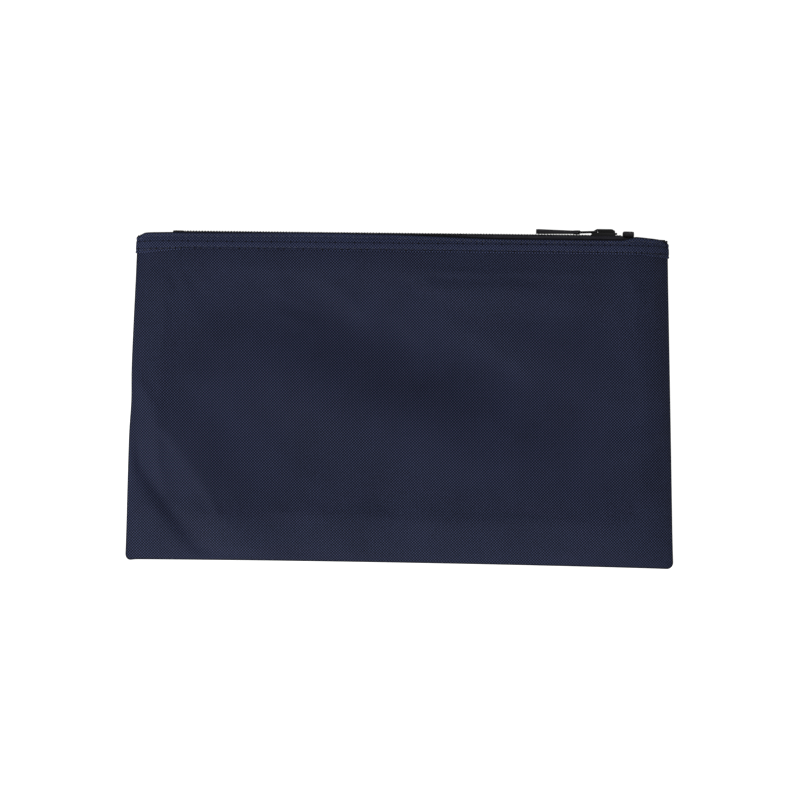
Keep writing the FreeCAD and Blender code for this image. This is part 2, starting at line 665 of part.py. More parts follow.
def make_lock_spring():
    """Leaf under the crown, clear of the ring's cross bar."""
    body = new_body("spring_solid")
    right = f"({crown_right} - sizes.crown_thickness - sizes.spring_thickness)"
    left = f"({right} - sizes.spring_length)"
    bend = f"({right} - sizes.spring_flat)"
    rise = "sizes.spring_rise"
    leaf = [(right, outer_plate_top), (right, f"({outer_plate_top} + sizes.spring_thickness)"),
            (bend, f"({outer_plate_top} + sizes.spring_thickness)"),
            (left, f"({outer_plate_top} + {rise} + sizes.spring_thickness)"),
            (left, f"({outer_plate_top} + {rise})"), (bend, outer_plate_top)]
    sketch = polygon_sketch(body, "spring_leaf", "XY_Plane", leaf, chain_z)
    add_pad(body, sketch, "sizes.spring_width", True)
    add_node(body, "lock_spring")


# ---------------------------------------------------------------- ring and pull
def turn_at_rest(item, x, y, angle, shift=FreeCAD.Vector()):
    """Turns a finished piece about the line along Z through (x, y), then shifts it."""
    centre = FreeCAD.Vector(x, y, 0)
    turn = FreeCAD.Rotation(Z_AXIS, angle)
    item.Placement = FreeCAD.Placement(centre + shift - turn.multVec(centre), turn)


def eye_shift():
    """How far the ring's lean carries its far cross bar."""
    lean = math.radians(value("sizes.ring_dip"))
    reach = value("sizes.ring_length")
    return FreeCAD.Vector(reach * (1 - math.cos(lean)), -reach * math.sin(lean), 0)


bar_z = "((sizes.ring_inner_width + sizes.wire_diameter) / 2)"


def ring_bar(name, axis, angle, length, place):
    bar = doc.addObject("Part::Cylinder", name)
    bar.setExpression("Radius", "sizes.wire_diameter / 2")
    bar.setExpression("Height", length)
    bar.Placement.Rotation = FreeCAD.Rotation(axis, angle)
    for letter, expression in zip("xyz", place):
        bar.setExpression(f"Placement.Base.{letter}", expression)
    return bar


def make_ring():
    """Wire loop lying along the zip: two cross bars, two side bars and four bends."""
    pieces = []
    across = f"2 * ({bar_z} - sizes.ring_corner)"
    along = "sizes.ring_length - 2 * sizes.ring_corner"
    for name, x in (("near", pivot_x), ("far", pull_x)):
        place = (x, pivot_y, f"{chain_z} - {bar_z} + sizes.ring_corner")
        pieces.append(ring_bar(f"ring_{name}_bar", Z_AXIS, 0, across, place))
    for name, sign in (("front", "+"), ("back", "-")):
        place = (f"{pull_x} + sizes.ring_corner", pivot_y, f"{chain_z} {sign} {bar_z}")
        pieces.append(ring_bar(f"ring_{name}_bar", Y_AXIS, 90, along, place))
    for x_name, x, x_in in (("near", pivot_x, "-"), ("far", pull_x, "+")):
        for z_name, sign, z_in in (("front", "+", "-"), ("back", "-", "+")):
            bend = doc.addObject("Part::Torus", f"ring_{x_name}_{z_name}_bend")
            bend.setExpression("Radius1", "sizes.ring_corner")
            bend.setExpression("Radius2", "sizes.wire_diameter / 2")
            bend.Angle3 = 90
            start = {("near", "front"): 0, ("far", "front"): 90, ("far", "back"): 180,
                     ("near", "back"): 270}[(x_name, z_name)]
            turn = FreeCAD.Rotation(X_AXIS, 90).multiply(FreeCAD.Rotation(Z_AXIS, start))
            bend.Placement.Rotation = turn
            bend.setExpression("Placement.Base.x", f"{x} {x_in} sizes.ring_corner")
            bend.setExpression("Placement.Base.y", pivot_y)
            bend.setExpression("Placement.Base.z",
                               f"{chain_z} {sign} {bar_z} {z_in} sizes.ring_corner")
            pieces.append(bend)
    ring = doc.addObject("Part::MultiFuse", "ring_fuse")
    ring.Shapes = pieces
    turn_at_rest(ring, value(pivot_x), value(pivot_y), value("sizes.ring_dip"))
    add_node(ring, "pull_ring")


def make_pull():
    """Moulded pull: an eye round the far cross bar, a neck, then a thicker rounded grip."""
    body = new_body("pull_solid")
    eye = "(sizes.wire_diameter / 2 + sizes.pull_eye_clearance)"
    head = f"({eye} + sizes.pull_eye_wall)"
    neck_half = "(sizes.pull_neck_thickness / 2)"
    grip_half = "(sizes.pull_thickness / 2)"
    head_x = f"({pull_x} + {head})"
    neck_x = f"({pull_x} - sizes.pull_neck_length)"
    end_x = f"({pull_x} - sizes.pull_length)"
    side = [(head_x, f"({pivot_y} - {head} / 2)"), (head_x, f"({pivot_y} + {head} / 2)"),
            (f"({pull_x} + {head} / 2)", f"({pivot_y} + {head})"),
            (f"({pull_x} - {head} / 2)", f"({pivot_y} + {head})"),
            (neck_x, f"({pivot_y} + {neck_half})"), (end_x, f"({pivot_y} + {grip_half})"),
            (end_x, f"({pivot_y} - {grip_half})"), (neck_x, f"({pivot_y} - {neck_half})"),
            (f"({pull_x} - {head} / 2)", f"({pivot_y} - {head})"),
            (f"({pull_x} + {head} / 2)", f"({pivot_y} - {head})")]
    sketch = polygon_sketch(body, "pull_side", "XY_Plane", side, chain_z)
    add_pad(body, sketch, "sizes.pull_width", True)
    doc.recompute()
    inner = "(sizes.ring_inner_width / 2 - sizes.pull_side_clearance)"
    outer = "(sizes.pull_width / 2 + sizes.margin)"
    past = f"({head_x} + sizes.margin)"
    clear_x = f"({pull_x} - sizes.wire_diameter / 2 - sizes.pull_side_clearance)"
    for name, sign in (("front", "+"), ("back", "-")):
        cheek = [(clear_x, f"({chain_z} {sign} {inner})"), (past, f"({chain_z} {sign} {inner})"),
                 (past, f"({chain_z} {sign} {outer})"), (clear_x, f"({chain_z} {sign} {outer})")]
        cutter = polygon_sketch(body, f"pull_{name}_cheek", "XZ_Plane", cheek, minus(pivot_y))
        add_pocket(body, cutter, "4 * sizes.pull_thickness")
    bore = circle_sketch(body, "pull_eye", "XY_Plane", (pull_x, pivot_y), eye, chain_z)
    add_pocket(body, bore, "2 * sizes.pull_width")
    far = value(end_x)
    round_edges(body, "pull_end_round", lambda edge: runs_along(edge, Y_AXIS)
                and abs(edge.CenterOfMass.x - far) < 1e-4, "sizes.pull_end_round")
    turn_at_rest(body, value(pull_x), value(pivot_y), -value("sizes.pull_lift"), eye_shift())
    add_node(body, "pull_tab")


# ---------------------------------------------------------------- the whole bag
make_front_panel()
make_back_panel()
make_bands()
make_tapes()
make_coil("front", "+")
make_coil("back", "-")
make_tack("closed_end_tack", f"({chain_right} + sizes.tack_gap)", "sizes.right_tack_rise")
make_tack("open_end_tack", f"({chain_left} - sizes.tack_gap - sizes.tack_length)",
          "sizes.left_tack_rise")
make_band_rows()
make_seam_rows()
make_bindings()
make_slider_body()
make_crown()
make_lock_spring()
make_ring()
make_pull()
doc.recompute()

for item in doc.Objects:
    if {"Invalid", "Error"} & set(item.State):
        raise RuntimeError(f"{item.Name} failed: {item.State}")
for node in nodes:
    if node.Shape.isNull() or not node.Shape.isValid():
        raise RuntimeError(f"{node.Label} has no valid shape")

os.makedirs("parts", exist_ok=True)
for node in nodes:
    node.Shape.exportStep(f"parts/{node.Label}.step")
    print(f"{node.Label}: {len(node.Shape.Solids)} solids, {node.Shape.Volume:.1f} mm3")
eye = FreeCAD.Vector(value(pull_x), value(pivot_y), value(chain_z)) + eye_shift()
print(f"ring pivot {value(pivot_x):.3f} {value(pivot_y):.3f} {value(chain_z):.3f},"
      f" pull pivot {eye.x:.3f} {eye.y:.3f} {eye.z:.3f}")
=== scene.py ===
"""Cash deposit bag: its woven panels, zip chain, slider and pull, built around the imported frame."""
import json
import math

import bmesh
import bpy
import numpy as np
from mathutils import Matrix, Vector, noise


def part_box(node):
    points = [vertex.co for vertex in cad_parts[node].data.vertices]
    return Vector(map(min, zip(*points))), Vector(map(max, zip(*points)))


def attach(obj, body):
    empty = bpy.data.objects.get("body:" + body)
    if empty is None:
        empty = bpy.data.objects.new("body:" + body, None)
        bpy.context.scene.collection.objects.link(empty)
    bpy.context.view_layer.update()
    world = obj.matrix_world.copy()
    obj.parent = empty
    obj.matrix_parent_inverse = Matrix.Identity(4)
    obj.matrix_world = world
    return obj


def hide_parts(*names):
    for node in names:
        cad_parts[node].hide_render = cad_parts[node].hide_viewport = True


bl_info = {
    "name": "Cash Deposit Bag",
    "version": (1, 0, 0),
    "blender": (4, 5, 0),
    "location": "View3D > Sidebar > Deposit Bag",
    "description": "Builds the woven pouch, its coil zip, slider and pull",
    "category": "Object",
}

MM = 0.001
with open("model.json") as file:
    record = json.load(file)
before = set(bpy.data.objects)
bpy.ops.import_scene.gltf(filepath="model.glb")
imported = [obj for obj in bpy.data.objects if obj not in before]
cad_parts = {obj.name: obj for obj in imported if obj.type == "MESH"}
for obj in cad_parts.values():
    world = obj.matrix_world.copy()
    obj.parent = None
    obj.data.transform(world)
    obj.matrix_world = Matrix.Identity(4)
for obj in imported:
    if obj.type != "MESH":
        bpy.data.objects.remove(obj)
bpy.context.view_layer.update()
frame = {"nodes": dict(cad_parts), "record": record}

# ------------------------------------------------------------------ places read from the frame
panel_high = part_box("front_panel")[1]
back_low, back_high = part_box("back_panel")
band_low, band_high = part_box("front_zip_band")
back_band_low, back_band_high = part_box("back_zip_band")
coil_low, coil_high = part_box("front_coil")
back_coil_low, back_coil_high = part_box("back_coil")
back_tape_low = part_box("back_zip_tape")[0]

HALF_BOTTOM = back_high.x
HALF_TOP = back_band_high.x
BOTTOM_Y = back_low.y
PANEL_EDGE_Y = panel_high.y
BAND_LOW_Y = band_low.y
ZIP_FACE_Y = coil_low.y
SLIDER_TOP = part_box("slider_body")[1].z
CREST_Y = coil_high.y
CHAIN_Z = (coil_low.z + back_coil_high.z) / 2
FABRIC = back_band_high.z - back_band_low.z
TAPE = ZIP_FACE_Y - PANEL_EDGE_Y
PLATEAU_Z = panel_high.z - FABRIC / 2         # middle of the front panel's cloth along the zip
BACK_BAND_Z = (back_band_low.z + back_band_high.z) / 2


# ------------------------------------------------------------------ sizes and colours to change
def length_setting(name, description, millimetres):
    return bpy.props.FloatProperty(name=name, description=description, unit="LENGTH",
                                   default=millimetres * MM, precision=6)


def colour_setting(name, description, *parts):
    return bpy.props.FloatVectorProperty(name=name, description=description, subtype="COLOR",
                                         size=3, default=parts)


class ClothSettings(bpy.types.PropertyGroup):
    thread_pitch_x: length_setting("Warp pitch", "Gap between the threads that run up", 0.716)
    thread_pitch_y: length_setting("Weft pitch", "Gap between the threads that run across", 0.729)
    fullness: length_setting("Fullness", "Rise of the front above its seams, away from the zip", 7.2)
    fold_radius: length_setting("Fold radius", "Radius of the turned seams, mid-cloth", 0.45)
    corner_radius: length_setting("Corner radius", "Rounding of the two bottom corners", 3.0)
    turn_in: length_setting("Turn-in", "Cloth that runs back inside the fold", 2.0)
    stitch_pitch: length_setting("Stitch pitch", "Distance from one stitch to the next", 3.3)
    # one navy yarn in two tones: painted light where the warp floats, painted shade where the weft
    # floats and lies lower
    warp_lit_colour: colour_setting("Warp colour", "Thread that catches the light", 0.0470, 0.0605, 0.1400)
    weft_shaded_colour: colour_setting("Weft colour", "Thread that lies lower", 0.0024, 0.0031, 0.0070)
    stitch_colour: colour_setting("Stitch colour", "Sewing thread", 0.038, 0.047, 0.090)


class ZipSettings(bpy.types.PropertyGroup):
    coil_pitch: length_setting("Coil pitch", "Distance from one turn of the coil to the next", 1.5)
    filament_radius: length_setting("Filament radius", "Radius of the coil's monofilament", 0.3)
    mesh_depth: length_setting("Mesh depth", "Reach of each coil's heads past the chain's middle", 0.3)
    tape_colour: colour_setting("Tape colour", "Zip tape", 0.048, 0.047, 0.062)
    filament_colour: colour_setting("Filament colour", "Coil filament", 0.012, 0.012, 0.018)
    enamel_colour: colour_setting("Enamel colour", "Slider, crown and ring", 0.010, 0.010, 0.011)
    pull_colour: colour_setting("Pull colour", "Pull tab", 0.022, 0.020, 0.028)
    tack_colour: colour_setting("Tack colour", "Thread tacks at the zip's ends", 0.050, 0.044, 0.056)


class StageSettings(bpy.types.PropertyGroup):
    view_width: length_setting("View width", "Width of the camera's view at the bag", 413.9)
    camera_height: length_setting("Camera height", "Camera above the resting face", 1300)
    aim_x: length_setting("Aim X", "Point of the floor under the camera, along the zip", -0.5)
    aim_y: length_setting("Aim Y", "Point of the floor under the camera, up the bag", -0.9)
    roll: bpy.props.FloatProperty(
        name="Roll", description="Turn of the camera about its line of sight",
        default=math.radians(0.6), subtype="ANGLE")
    key_power: bpy.props.FloatProperty(
        name="Key power", description="Power of the large soft light", default=28.0)
    world_strength: bpy.props.FloatProperty(
        name="Fill strength", description="Brightness of the even fill light", default=0.17)


SETTINGS = (ClothSettings, ZipSettings, StageSettings)


def cloth():
    return bpy.context.scene.bag_cloth


def zipper():
    return bpy.context.scene.bag_zip


def stage():
    return bpy.context.scene.bag_stage


# ------------------------------------------------------------------ shape of the pouch
EDGE_Z = 2.35 * MM            # middle of the front cloth where it meets its side seam
SIDE_REACH = 7.5 * MM         # how quickly the front rises from a side seam
BOTTOM_REACH = 19.0 * MM
ZIP_MARGIN = 8.0 * MM         # steep start of the zip edge's rise from the side seams
ZIP_RUN = 22.0 * MM           # whole length of that rise
ZIP_REACH = 34.0 * MM         # how far below the zip the panel still follows it
BACK_FOLD = 0.78              # the back seam's fold radius, as a share of the front one
LOOSE_SIDE = 6.0 * MM         # cloth this far from a side seam folds freely
LOOSE_BOTTOM = 7.0 * MM       # and this far from the bottom seam
CALM_Y = 56.0 * MM            # where the folds start to die out below the zip
CALM_RUN = 18.0 * MM          # and over what distance
HELD_SIDE = 22.0 * MM         # while it settles, the cloth is held less and less this far in
HELD_BOTTOM = 34.0 * MM
HELD_ZIP = 16.0 * MM
LEAN_REACH = 0.6 * MM         # distance over which a panel's slope at its seam is measured
BAND_ROW = 1.05 * MM          # lower stitch row, from the band's free edge
EDGE_ROW = 1.6 * MM           # upper stitch row, from the band's zip edge
ROW_INSET = 1.5 * MM          # where a front row starts, from the side seam

# folds of the front panel, in millimetres: the two ends of the line, the reach of the fold on
# the line's left and on its right, and its depth, which is negative for a ridge
FOLDS = (
    ((-143, -24), (-98, -87), 8.0, 4.8, 2.3),
    ((-124, -12), (-80, -74), 15.0, 8.0, -1.9),
    ((-46, 46), (143, -20), 15.0, 22.0, 3.6),
    ((-78, 24), (72, -46), 22.0, 21.0, -2.5),
    ((16, 58), (122, 53), 10.0, 11.0, -2.9),
    ((144, -11), (114, -31), 3.4, 6.5, -1.7),
    ((-118, 14), (-66, -4), 12.0, 13.0, -1.3),
    ((-124, 62), (-98, 30), 7.0, 9.0, -1.0),
    ((12, -60), (84, -56), 12.0, 14.0, -1.3),
    ((92, -40), (128, -62), 8.0, 10.0, 1.1),
    ((-136, 6), (-126, -14), 4.0, 4.0, -1.0),
)

# fine ripples of the front cloth: height, waves to the metre and where in the noise they start
RIPPLES = (
    (1.0 * MM, 24, Vector((3.1, 0.4, 0.0))),
    (0.32 * MM, 62, Vector((0.0, 5.2, 1.0))),
)


def smooth(share):
    """Eases from 0 to 1, and stays at either beyond."""
    share = min(max(share, 0.0), 1.0)
    return share * share * (3 - 2 * share)


def height_share(y):
    return (y - BOTTOM_Y) / (PANEL_EDGE_Y - BOTTOM_Y)


def straight_half(y):
    return HALF_BOTTOM + (HALF_TOP - HALF_BOTTOM) * height_share(y)


def left_x(y):
    """Left seam line: almost straight, a little full, with a small dent near its middle."""
    share = height_share(y)
    full = 0.75 * MM * math.sin(math.pi * min(max(share, 0), 1))
    dent = 0.55 * MM * math.exp(-((y + 3 * MM) / (11 * MM)) ** 2)
    return -straight_half(y) - full + dent + cloth().fold_radius


def right_x(y):
    share = height_share(y)
    return straight_half(y) + 0.1 * MM * math.sin(math.pi * share) - cloth().fold_radius


def bottom_line(x):
    """Bottom seam line: it drops slightly towards the right, with a small ear at its left end."""
    across = x / HALF_BOTTOM
    drop = (0.35 - 1.1 * across - 0.75 * across * across) * MM
    left_ear = 0.7 * MM * math.exp(-((across + 1) / 0.02) ** 2)
    return BOTTOM_Y + drop - left_ear + cloth().fold_radius


def fold_depth(x, y, fold):
    """How much a fold lowers the cloth at a point."""
    start = Vector(fold[0]) * MM
    line = Vector(fold[1]) * MM - start
    offset = Vector((x, y)) - start
    share = min(max(offset.dot(line) / line.length_squared, 0.0), 1.0)
    gap = offset - line * share
    left = line.x * gap.y - line.y * gap.x > 0
    reach = (fold[2] if left else fold[3]) * MM
    fade = 0.55 + 0.45 * math.cos(math.pi * (share - 0.35))
    return fold[4] * MM * fade * math.exp(-gap.length_squared / reach ** 2)


def front_height(x, y):
    """Height of the middle of the front cloth."""
    side = max(min(x - left_x(y), right_x(y) - x), 0.0)
    low = max(y - bottom_line(x), 0.0)
    follow = smooth((y - (BAND_LOW_Y - ZIP_REACH)) / ZIP_REACH)
    zip_rise = 0.5 * smooth(side / ZIP_MARGIN) + 0.5 * smooth(side / ZIP_RUN)
    body = cloth().fullness * (1 - math.exp(-side / SIDE_REACH))
    body *= 1 - math.exp(-low / BOTTOM_REACH)
    height = body + ((PLATEAU_Z - EDGE_Z) * zip_rise - body) * follow
    loose = smooth(min(side / LOOSE_SIDE, low / LOOSE_BOTTOM))
    loose *= 1 - smooth((y - CALM_Y) / CALM_RUN)
    for fold in FOLDS:
        height -= fold_depth(x, y, fold) * loose
    spot = Vector((x, y, 0.0))
    for tall, waves, start in RIPPLES:
        height += tall * noise.noise(spot * waves + start) * loose
    return EDGE_Z + max(height, 0.0)


def back_height(_x, y):
    """Height of the middle of the back cloth: flat on the floor, up to its band near the zip."""
    rise = BACK_BAND_Z + FABRIC / 2
    share = smooth((y - (BAND_LOW_Y - 4.5 * MM)) / (4 * MM))
    return FABRIC / 2 + rise * share


def zip_line(x):
    """Height of the front cloth along the zip edge."""
    return front_height(x, PANEL_EDGE_Y)


def covered(x):
    """1 where the front band's cloth covers the chain, 0 where it draws back from it."""
    left = 1 - smooth((x + 12 * MM) / (66 * MM))
    return max(left, smooth((x - 113 * MM) / (8 * MM)))


def band_edge(x):
    """Zip edge of the front band."""
    back = PANEL_EDGE_Y - 0.55 * MM
    over = CREST_Y - 1.15 * MM + 0.5 * MM * math.exp(-((x + 50 * MM) / (34 * MM)) ** 2)
    corner = 1.9 * MM * smooth((abs(x) - 131.5 * MM) / (6 * MM)) ** 2
    slope = 1.0 * MM * smooth((x - 118 * MM) / (18 * MM))
    return back + (over - back) * covered(x) - corner - slope


def band_foot(x):
    """Free edge of the front band, which bends down where it meets the side seams."""
    droop = 2.2 * MM * smooth((-x - 103 * MM) / (36 * MM))
    droop += 1.2 * MM * smooth((x - 122 * MM) / (15 * MM))
    return BAND_LOW_Y - 0.35 * MM - 0.0035 * x - droop


# ------------------------------------------------------------------ mesh building
def graded(count, ease=0.72):
    """Shares from 0 to 1, closer together near both ends."""
    steps = np.linspace(0.0, 1.0, count + 1)
    return steps - ease / (2 * math.pi) * np.sin(2 * math.pi * steps)


def rounded_corner(x, y, low_x, high_x, low_y, radius):
    """Moves a point of a square bottom corner onto a round one."""
    for edge, inward in ((low_x, 1), (high_x, -1)):
        across = 1 - (x - edge) * inward / radius
        down = 1 - (y - low_y) / radius
        if across > 0 and down > 0:
            x = edge + inward * radius * (1 - across * math.sqrt(1 - down * down / 2))
            y = low_y + radius * (1 - down * math.sqrt(1 - across * across / 2))
    return x, y


def new_object(name, points, faces, flat=None, smooth_faces=True):
    mesh = bpy.data.meshes.new(name)
    mesh.from_pydata([tuple(point) for point in points], [], faces)
    if flat is not None:
        layer = mesh.uv_layers.new(name="flat")
        for loop in mesh.loops:
            layer.data[loop.index].uv = flat[loop.vertex_index]
    mesh.validate()
    mesh.shade_smooth() if smooth_faces else mesh.shade_flat()
    thing = bpy.data.objects.new(name, mesh)
    bpy.context.scene.collection.objects.link(thing)
    return thing


def mark_rim_shade(thing, shares):
    """Stores how far each point lies on a turned edge, where its finish paints shade."""
    layer = thing.data.attributes.new("rim", "FLOAT", "POINT")
    layer.data.foreach_set("value", shares)


def settle_mesh(thing):
    """Replaces an object's data by its evaluated mesh and removes its modifiers."""
    bpy.context.view_layer.update()
    evaluated = thing.evaluated_get(bpy.context.evaluated_depsgraph_get())
    mesh = bpy.data.meshes.new_from_object(evaluated)
    if thing.type == "MESH":
        thing.modifiers.clear()
        old = thing.data
        thing.data = mesh
        bpy.data.meshes.remove(old)
        return thing
    name = thing.name
    bpy.data.objects.remove(thing)
    result = bpy.data.objects.new(name, mesh)
    bpy.context.scene.collection.objects.link(result)
    return result


def thicken(thing, thickness, levels=0):
    if levels:
        finer = thing.modifiers.new("finer", "SUBSURF")
        finer.levels = levels
        finer.render_levels = levels
        finer.boundary_smooth = "PRESERVE_CORNERS"
    wall = thing.modifiers.new("wall", "SOLIDIFY")
    wall.thickness = thickness
    wall.offset = 0.0
    wall.use_even_offset = False
    thing = settle_mesh(thing)
    thing.data.shade_smooth()
    return thing


def set_finish(thing, material):
    thing.data.materials.clear()
    thing.data.materials.append(material)


def place_piece(thing, body, slot, *replaced):
    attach(thing, body)
    if replaced:
        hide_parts(*replaced)
    return thing


def strip_faces(rows, columns):
    """Quads over a grid of points stored row by row."""
    faces = []
    for row in range(rows - 1):
        upper = row + 1
        for column in range(columns - 1):
            faces.append((row * columns + column, row * columns + column + 1,
                          upper * columns + column + 1, upper * columns + column))
    return faces


def tube_faces(rings, sides):
    """Quads round a closed tube whose points are stored ring by ring, and its two end faces."""
    faces = []
    for ring in range(rings - 1):
        for side in range(sides):
            after = (side + 1) % sides
            faces.append((ring * sides + side, ring * sides + after,
                          (ring + 1) * sides + after, (ring + 1) * sides + side))
    faces.append(tuple(reversed(range(sides))))
    faces.append(tuple(range((rings - 1) * sides, rings * sides)))
    return faces


# ------------------------------------------------------------------ shader arithmetic
class Signal:
    """A shader socket that takes part in ordinary Python arithmetic."""

    def __init__(self, finish, socket):
        self.finish = finish
        self.socket = socket

    def math(self, operation, *others, first=None):
        values = [self if first is None else first, *others]
        if first is not None:
            values.append(self)
        return self.finish.node("ShaderNodeMath", {"operation": operation},
                                dict(enumerate(values)))

    def __add__(self, other):
        return self.math("ADD", other)

    def __sub__(self, other):
        return self.math("SUBTRACT", other)

    def __mul__(self, other):
        return self.math("MULTIPLY", other)

    def __truediv__(self, other):
        return self.math("DIVIDE", other)

    def __pow__(self, other):
        return self.math("POWER", other)

    def __rsub__(self, other):
        return self.math("SUBTRACT", first=other)

    __radd__ = __add__
    __rmul__ = __mul__

    def sine(self):
        return self.math("SINE")

    def size(self):
        return self.math("ABSOLUTE")

    def wrapped(self, span):
        return self.math("WRAP", span, 0.0)

    def below(self, other):
        return self.math("MINIMUM", other)

    def above(self, other):
        return self.math("MAXIMUM", other)

    def ramp(self, low, high):
        """0 at low, 1 at high, eased between."""
        return self.finish.node("ShaderNodeMapRange", {"interpolation_type": "SMOOTHSTEP"},
                                {"Value": self, "From Min": low, "From Max": high})


class Finish:
    """Node material for one of the bag's surfaces."""

    def __init__(self, name):
        self.material = bpy.data.materials.new(name)
        self.material.use_nodes = True
        self.tree = self.material.node_tree
        self.shader = self.tree.nodes["Principled BSDF"]

    def node(self, kind, settings=None, inputs=None, output=0):
        made = self.tree.nodes.new(kind)
        for key, setting in (settings or {}).items():
            setattr(made, key, setting)
        for key, given in (inputs or {}).items():
            self.feed(made.inputs[key], given)
        return Signal(self, made.outputs[output])

    def feed(self, socket, given):
        if isinstance(given, Signal):
            self.tree.links.new(given.socket, socket)
        elif hasattr(given, "__len__") and socket.type == "RGBA" and len(given) == 3:
            socket.default_value = (*given, 1.0)
        else:
            socket.default_value = given

    def mix(self, factor, first, second):
        """Blend of two colours."""
        made = self.tree.nodes.new("ShaderNodeMix")
        made.data_type = "RGBA"
        self.feed(made.inputs[0], factor)
        self.feed(made.inputs[6], first)
        self.feed(made.inputs[7], second)
        return Signal(self, made.outputs[2])

    def flat_place(self):
        """The cloth's own coordinates, in metres along and across the weave."""
        place = self.node("ShaderNodeTexCoord", output="UV")
        parts = self.tree.nodes.new("ShaderNodeSeparateXYZ")
        self.feed(parts.inputs[0], place)
        return Signal(self, parts.outputs[0]), Signal(self, parts.outputs[1])

    def body_place(self):
        return self.node("ShaderNodeTexCoord", output="Object")

    def body_parts(self):
        parts = self.tree.nodes.new("ShaderNodeSeparateXYZ")
        self.feed(parts.inputs[0], self.body_place())
        return [Signal(self, socket) for socket in parts.outputs]

    def grain(self, scale, detail=2.0, place=None):
        return self.node("ShaderNodeTexNoise", None,
                         {"Vector": place or self.body_place(), "Scale": scale,
                          "Detail": detail, "Roughness": 0.55}, "Fac")

    def bump(self, height, distance, strength=1.0):
        normal = self.node("ShaderNodeBump", None,
                           {"Height": height, "Distance": distance, "Strength": strength})
        self.feed(self.shader.inputs["Normal"], normal)

    def set(self, **inputs):
        for key, given in inputs.items():
            self.feed(self.shader.inputs[key.replace("_", " ")], given)


def weave(finish, pitch_x, pitch_y):
    """Plain weave: which thread is on top, and how high it stands."""
    across, along = finish.flat_place()
    warp_wave = (across * (math.pi / pitch_x)).sine()
    weft_wave = (along * (math.pi / pitch_y)).sine()
    over = (warp_wave * weft_wave).ramp(-0.22, 0.22)
    warp_round = warp_wave.size()
    weft_round = weft_wave.size()
    warp_height = warp_round * (weft_round * 0.45 + 0.55)
    weft_height = weft_round * (warp_round * 0.45 + 0.55) * 0.8
    return over, weft_height + (warp_height - weft_height) * over


# painted shade for the needle holes and stitch grooves of the band rows
HOLE_PAINTED_SHADE = (0.0012, 0.0014, 0.003)
# painted shade on the turned edges of the cloth, where a fold turns away from the light
FOLD_PAINTED_SHADE = (0.0015, 0.0018, 0.004)
FOLD_SHADE_STRENGTH = 0.85         # how much of a turned edge's colour gives way to painted shade


def woven_cloth(name, lit_warp, shaded_weft, pitch_x, pitch_y, rough=0.62, sheen=0.06, hole_shade=None):
    """Cloth or tape in a plain weave, painted light on its warp floats and thread crowns and painted
    shade on its weft floats and low places, with uneven patches, loose fibres, painted shade on its
    turned edges and, where given, painted shade in its needle holes.
    """
    finish = Finish(name)
    over, height = weave(finish, pitch_x, pitch_y)
    patches = finish.grain(28.0, 3.0)
    fibres = finish.grain(5200.0, 2.0)
    # painted light on the thread crowns and painted shade in the weave's low places, plus the cloth's
    # own uneven patches and fibres
    weave_shading_and_patches = height * height * 0.85 + patches * 0.28 + fibres * 0.34
    colour = finish.mix(over, shaded_weft, lit_warp)
    shade = finish.node("ShaderNodeCombineXYZ", None, {0: weave_shading_and_patches, 1: weave_shading_and_patches, 2: weave_shading_and_patches})
    colour = finish.node("ShaderNodeVectorMath", {"operation": "MULTIPLY"},
                         {0: colour, 1: shade})
    # painted shade in the needle holes and along the stitch grooves
    if hole_shade:
        colour = finish.mix(hole_shade(finish), colour, HOLE_PAINTED_SHADE)
    # painted shade over the turned edges, read from the "rim" value
    rim = finish.node("ShaderNodeAttribute", {"attribute_name": "rim"}, output="Fac")
    colour = finish.mix(rim * FOLD_SHADE_STRENGTH, colour, FOLD_PAINTED_SHADE)
    finish.set(Base_Color=colour, Roughness=rough + (1 - height) * 0.15)
    finish.set(Sheen_Weight=sheen, Sheen_Roughness=0.4, Specular_IOR_Level=0.12)
    finish.set(Sheen_Tint=(0.55, 0.60, 0.85, 1.0))
    finish.bump(height + fibres * 0.25, 0.16 * MM, 0.7)
    return finish.material


HOLE_ROWS = (BAND_LOW_Y + 1.35 * MM, PANEL_EDGE_Y - 1.9 * MM)
HOLE_WIDTH = 0.42 * MM
HOLE_LENGTH = 0.60 * MM


def stitch_hole_shade(finish):
    """Painted shade in the needle holes between the stitches of the two band rows, and a fainter
    painted shade line along each row's groove.
    """
    across, along = finish.flat_place()
    pitch = cloth().stitch_pitch
    step = (across + pitch * 200).wrapped(pitch) - pitch / 2
    near = None
    for row_y in HOLE_ROWS:
        offset = (along - row_y) / HOLE_WIDTH
        reach = offset * offset + (step / HOLE_LENGTH) ** 2.0
        # a fainter painted shade line along the row's sunk groove
        line = (1 - (offset * offset).ramp(0.2, 1.1)) * 0.45
        hole = (1 - reach.ramp(0.3, 1.2)).above(line)
        near = hole if near is None else near.above(hole)
    return near * 0.92


def thread_finish(name, colour, scale=2600.0):
    finish = Finish(name)
    x, y, z = finish.body_parts()
    ply = ((x + y * 0.6 + z * 0.8) * scale).sine() * 0.5 + 0.5
    fuzz = finish.grain(9000.0)
    shade = finish.mix(ply * 0.5 + fuzz * 0.4, [part * 0.45 for part in colour], colour)
    finish.set(Base_Color=shade, Roughness=0.5 + fuzz * 0.2)
    finish.set(Sheen_Weight=0.2)
    finish.bump(ply, 0.05 * MM, 0.6)
    return finish.material


def filament_finish(name, colour):
    finish = Finish(name)
    streaks = finish.grain(1500.0, 3.0)
    shade = finish.mix(streaks, [part * 0.7 for part in colour], [part * 1.5 for part in colour])
    finish.set(Base_Color=shade, Roughness=0.30 + streaks * 0.18)
    finish.set(Specular_IOR_Level=0.5)
    finish.bump(streaks, 0.01 * MM, 0.3)
    return finish.material


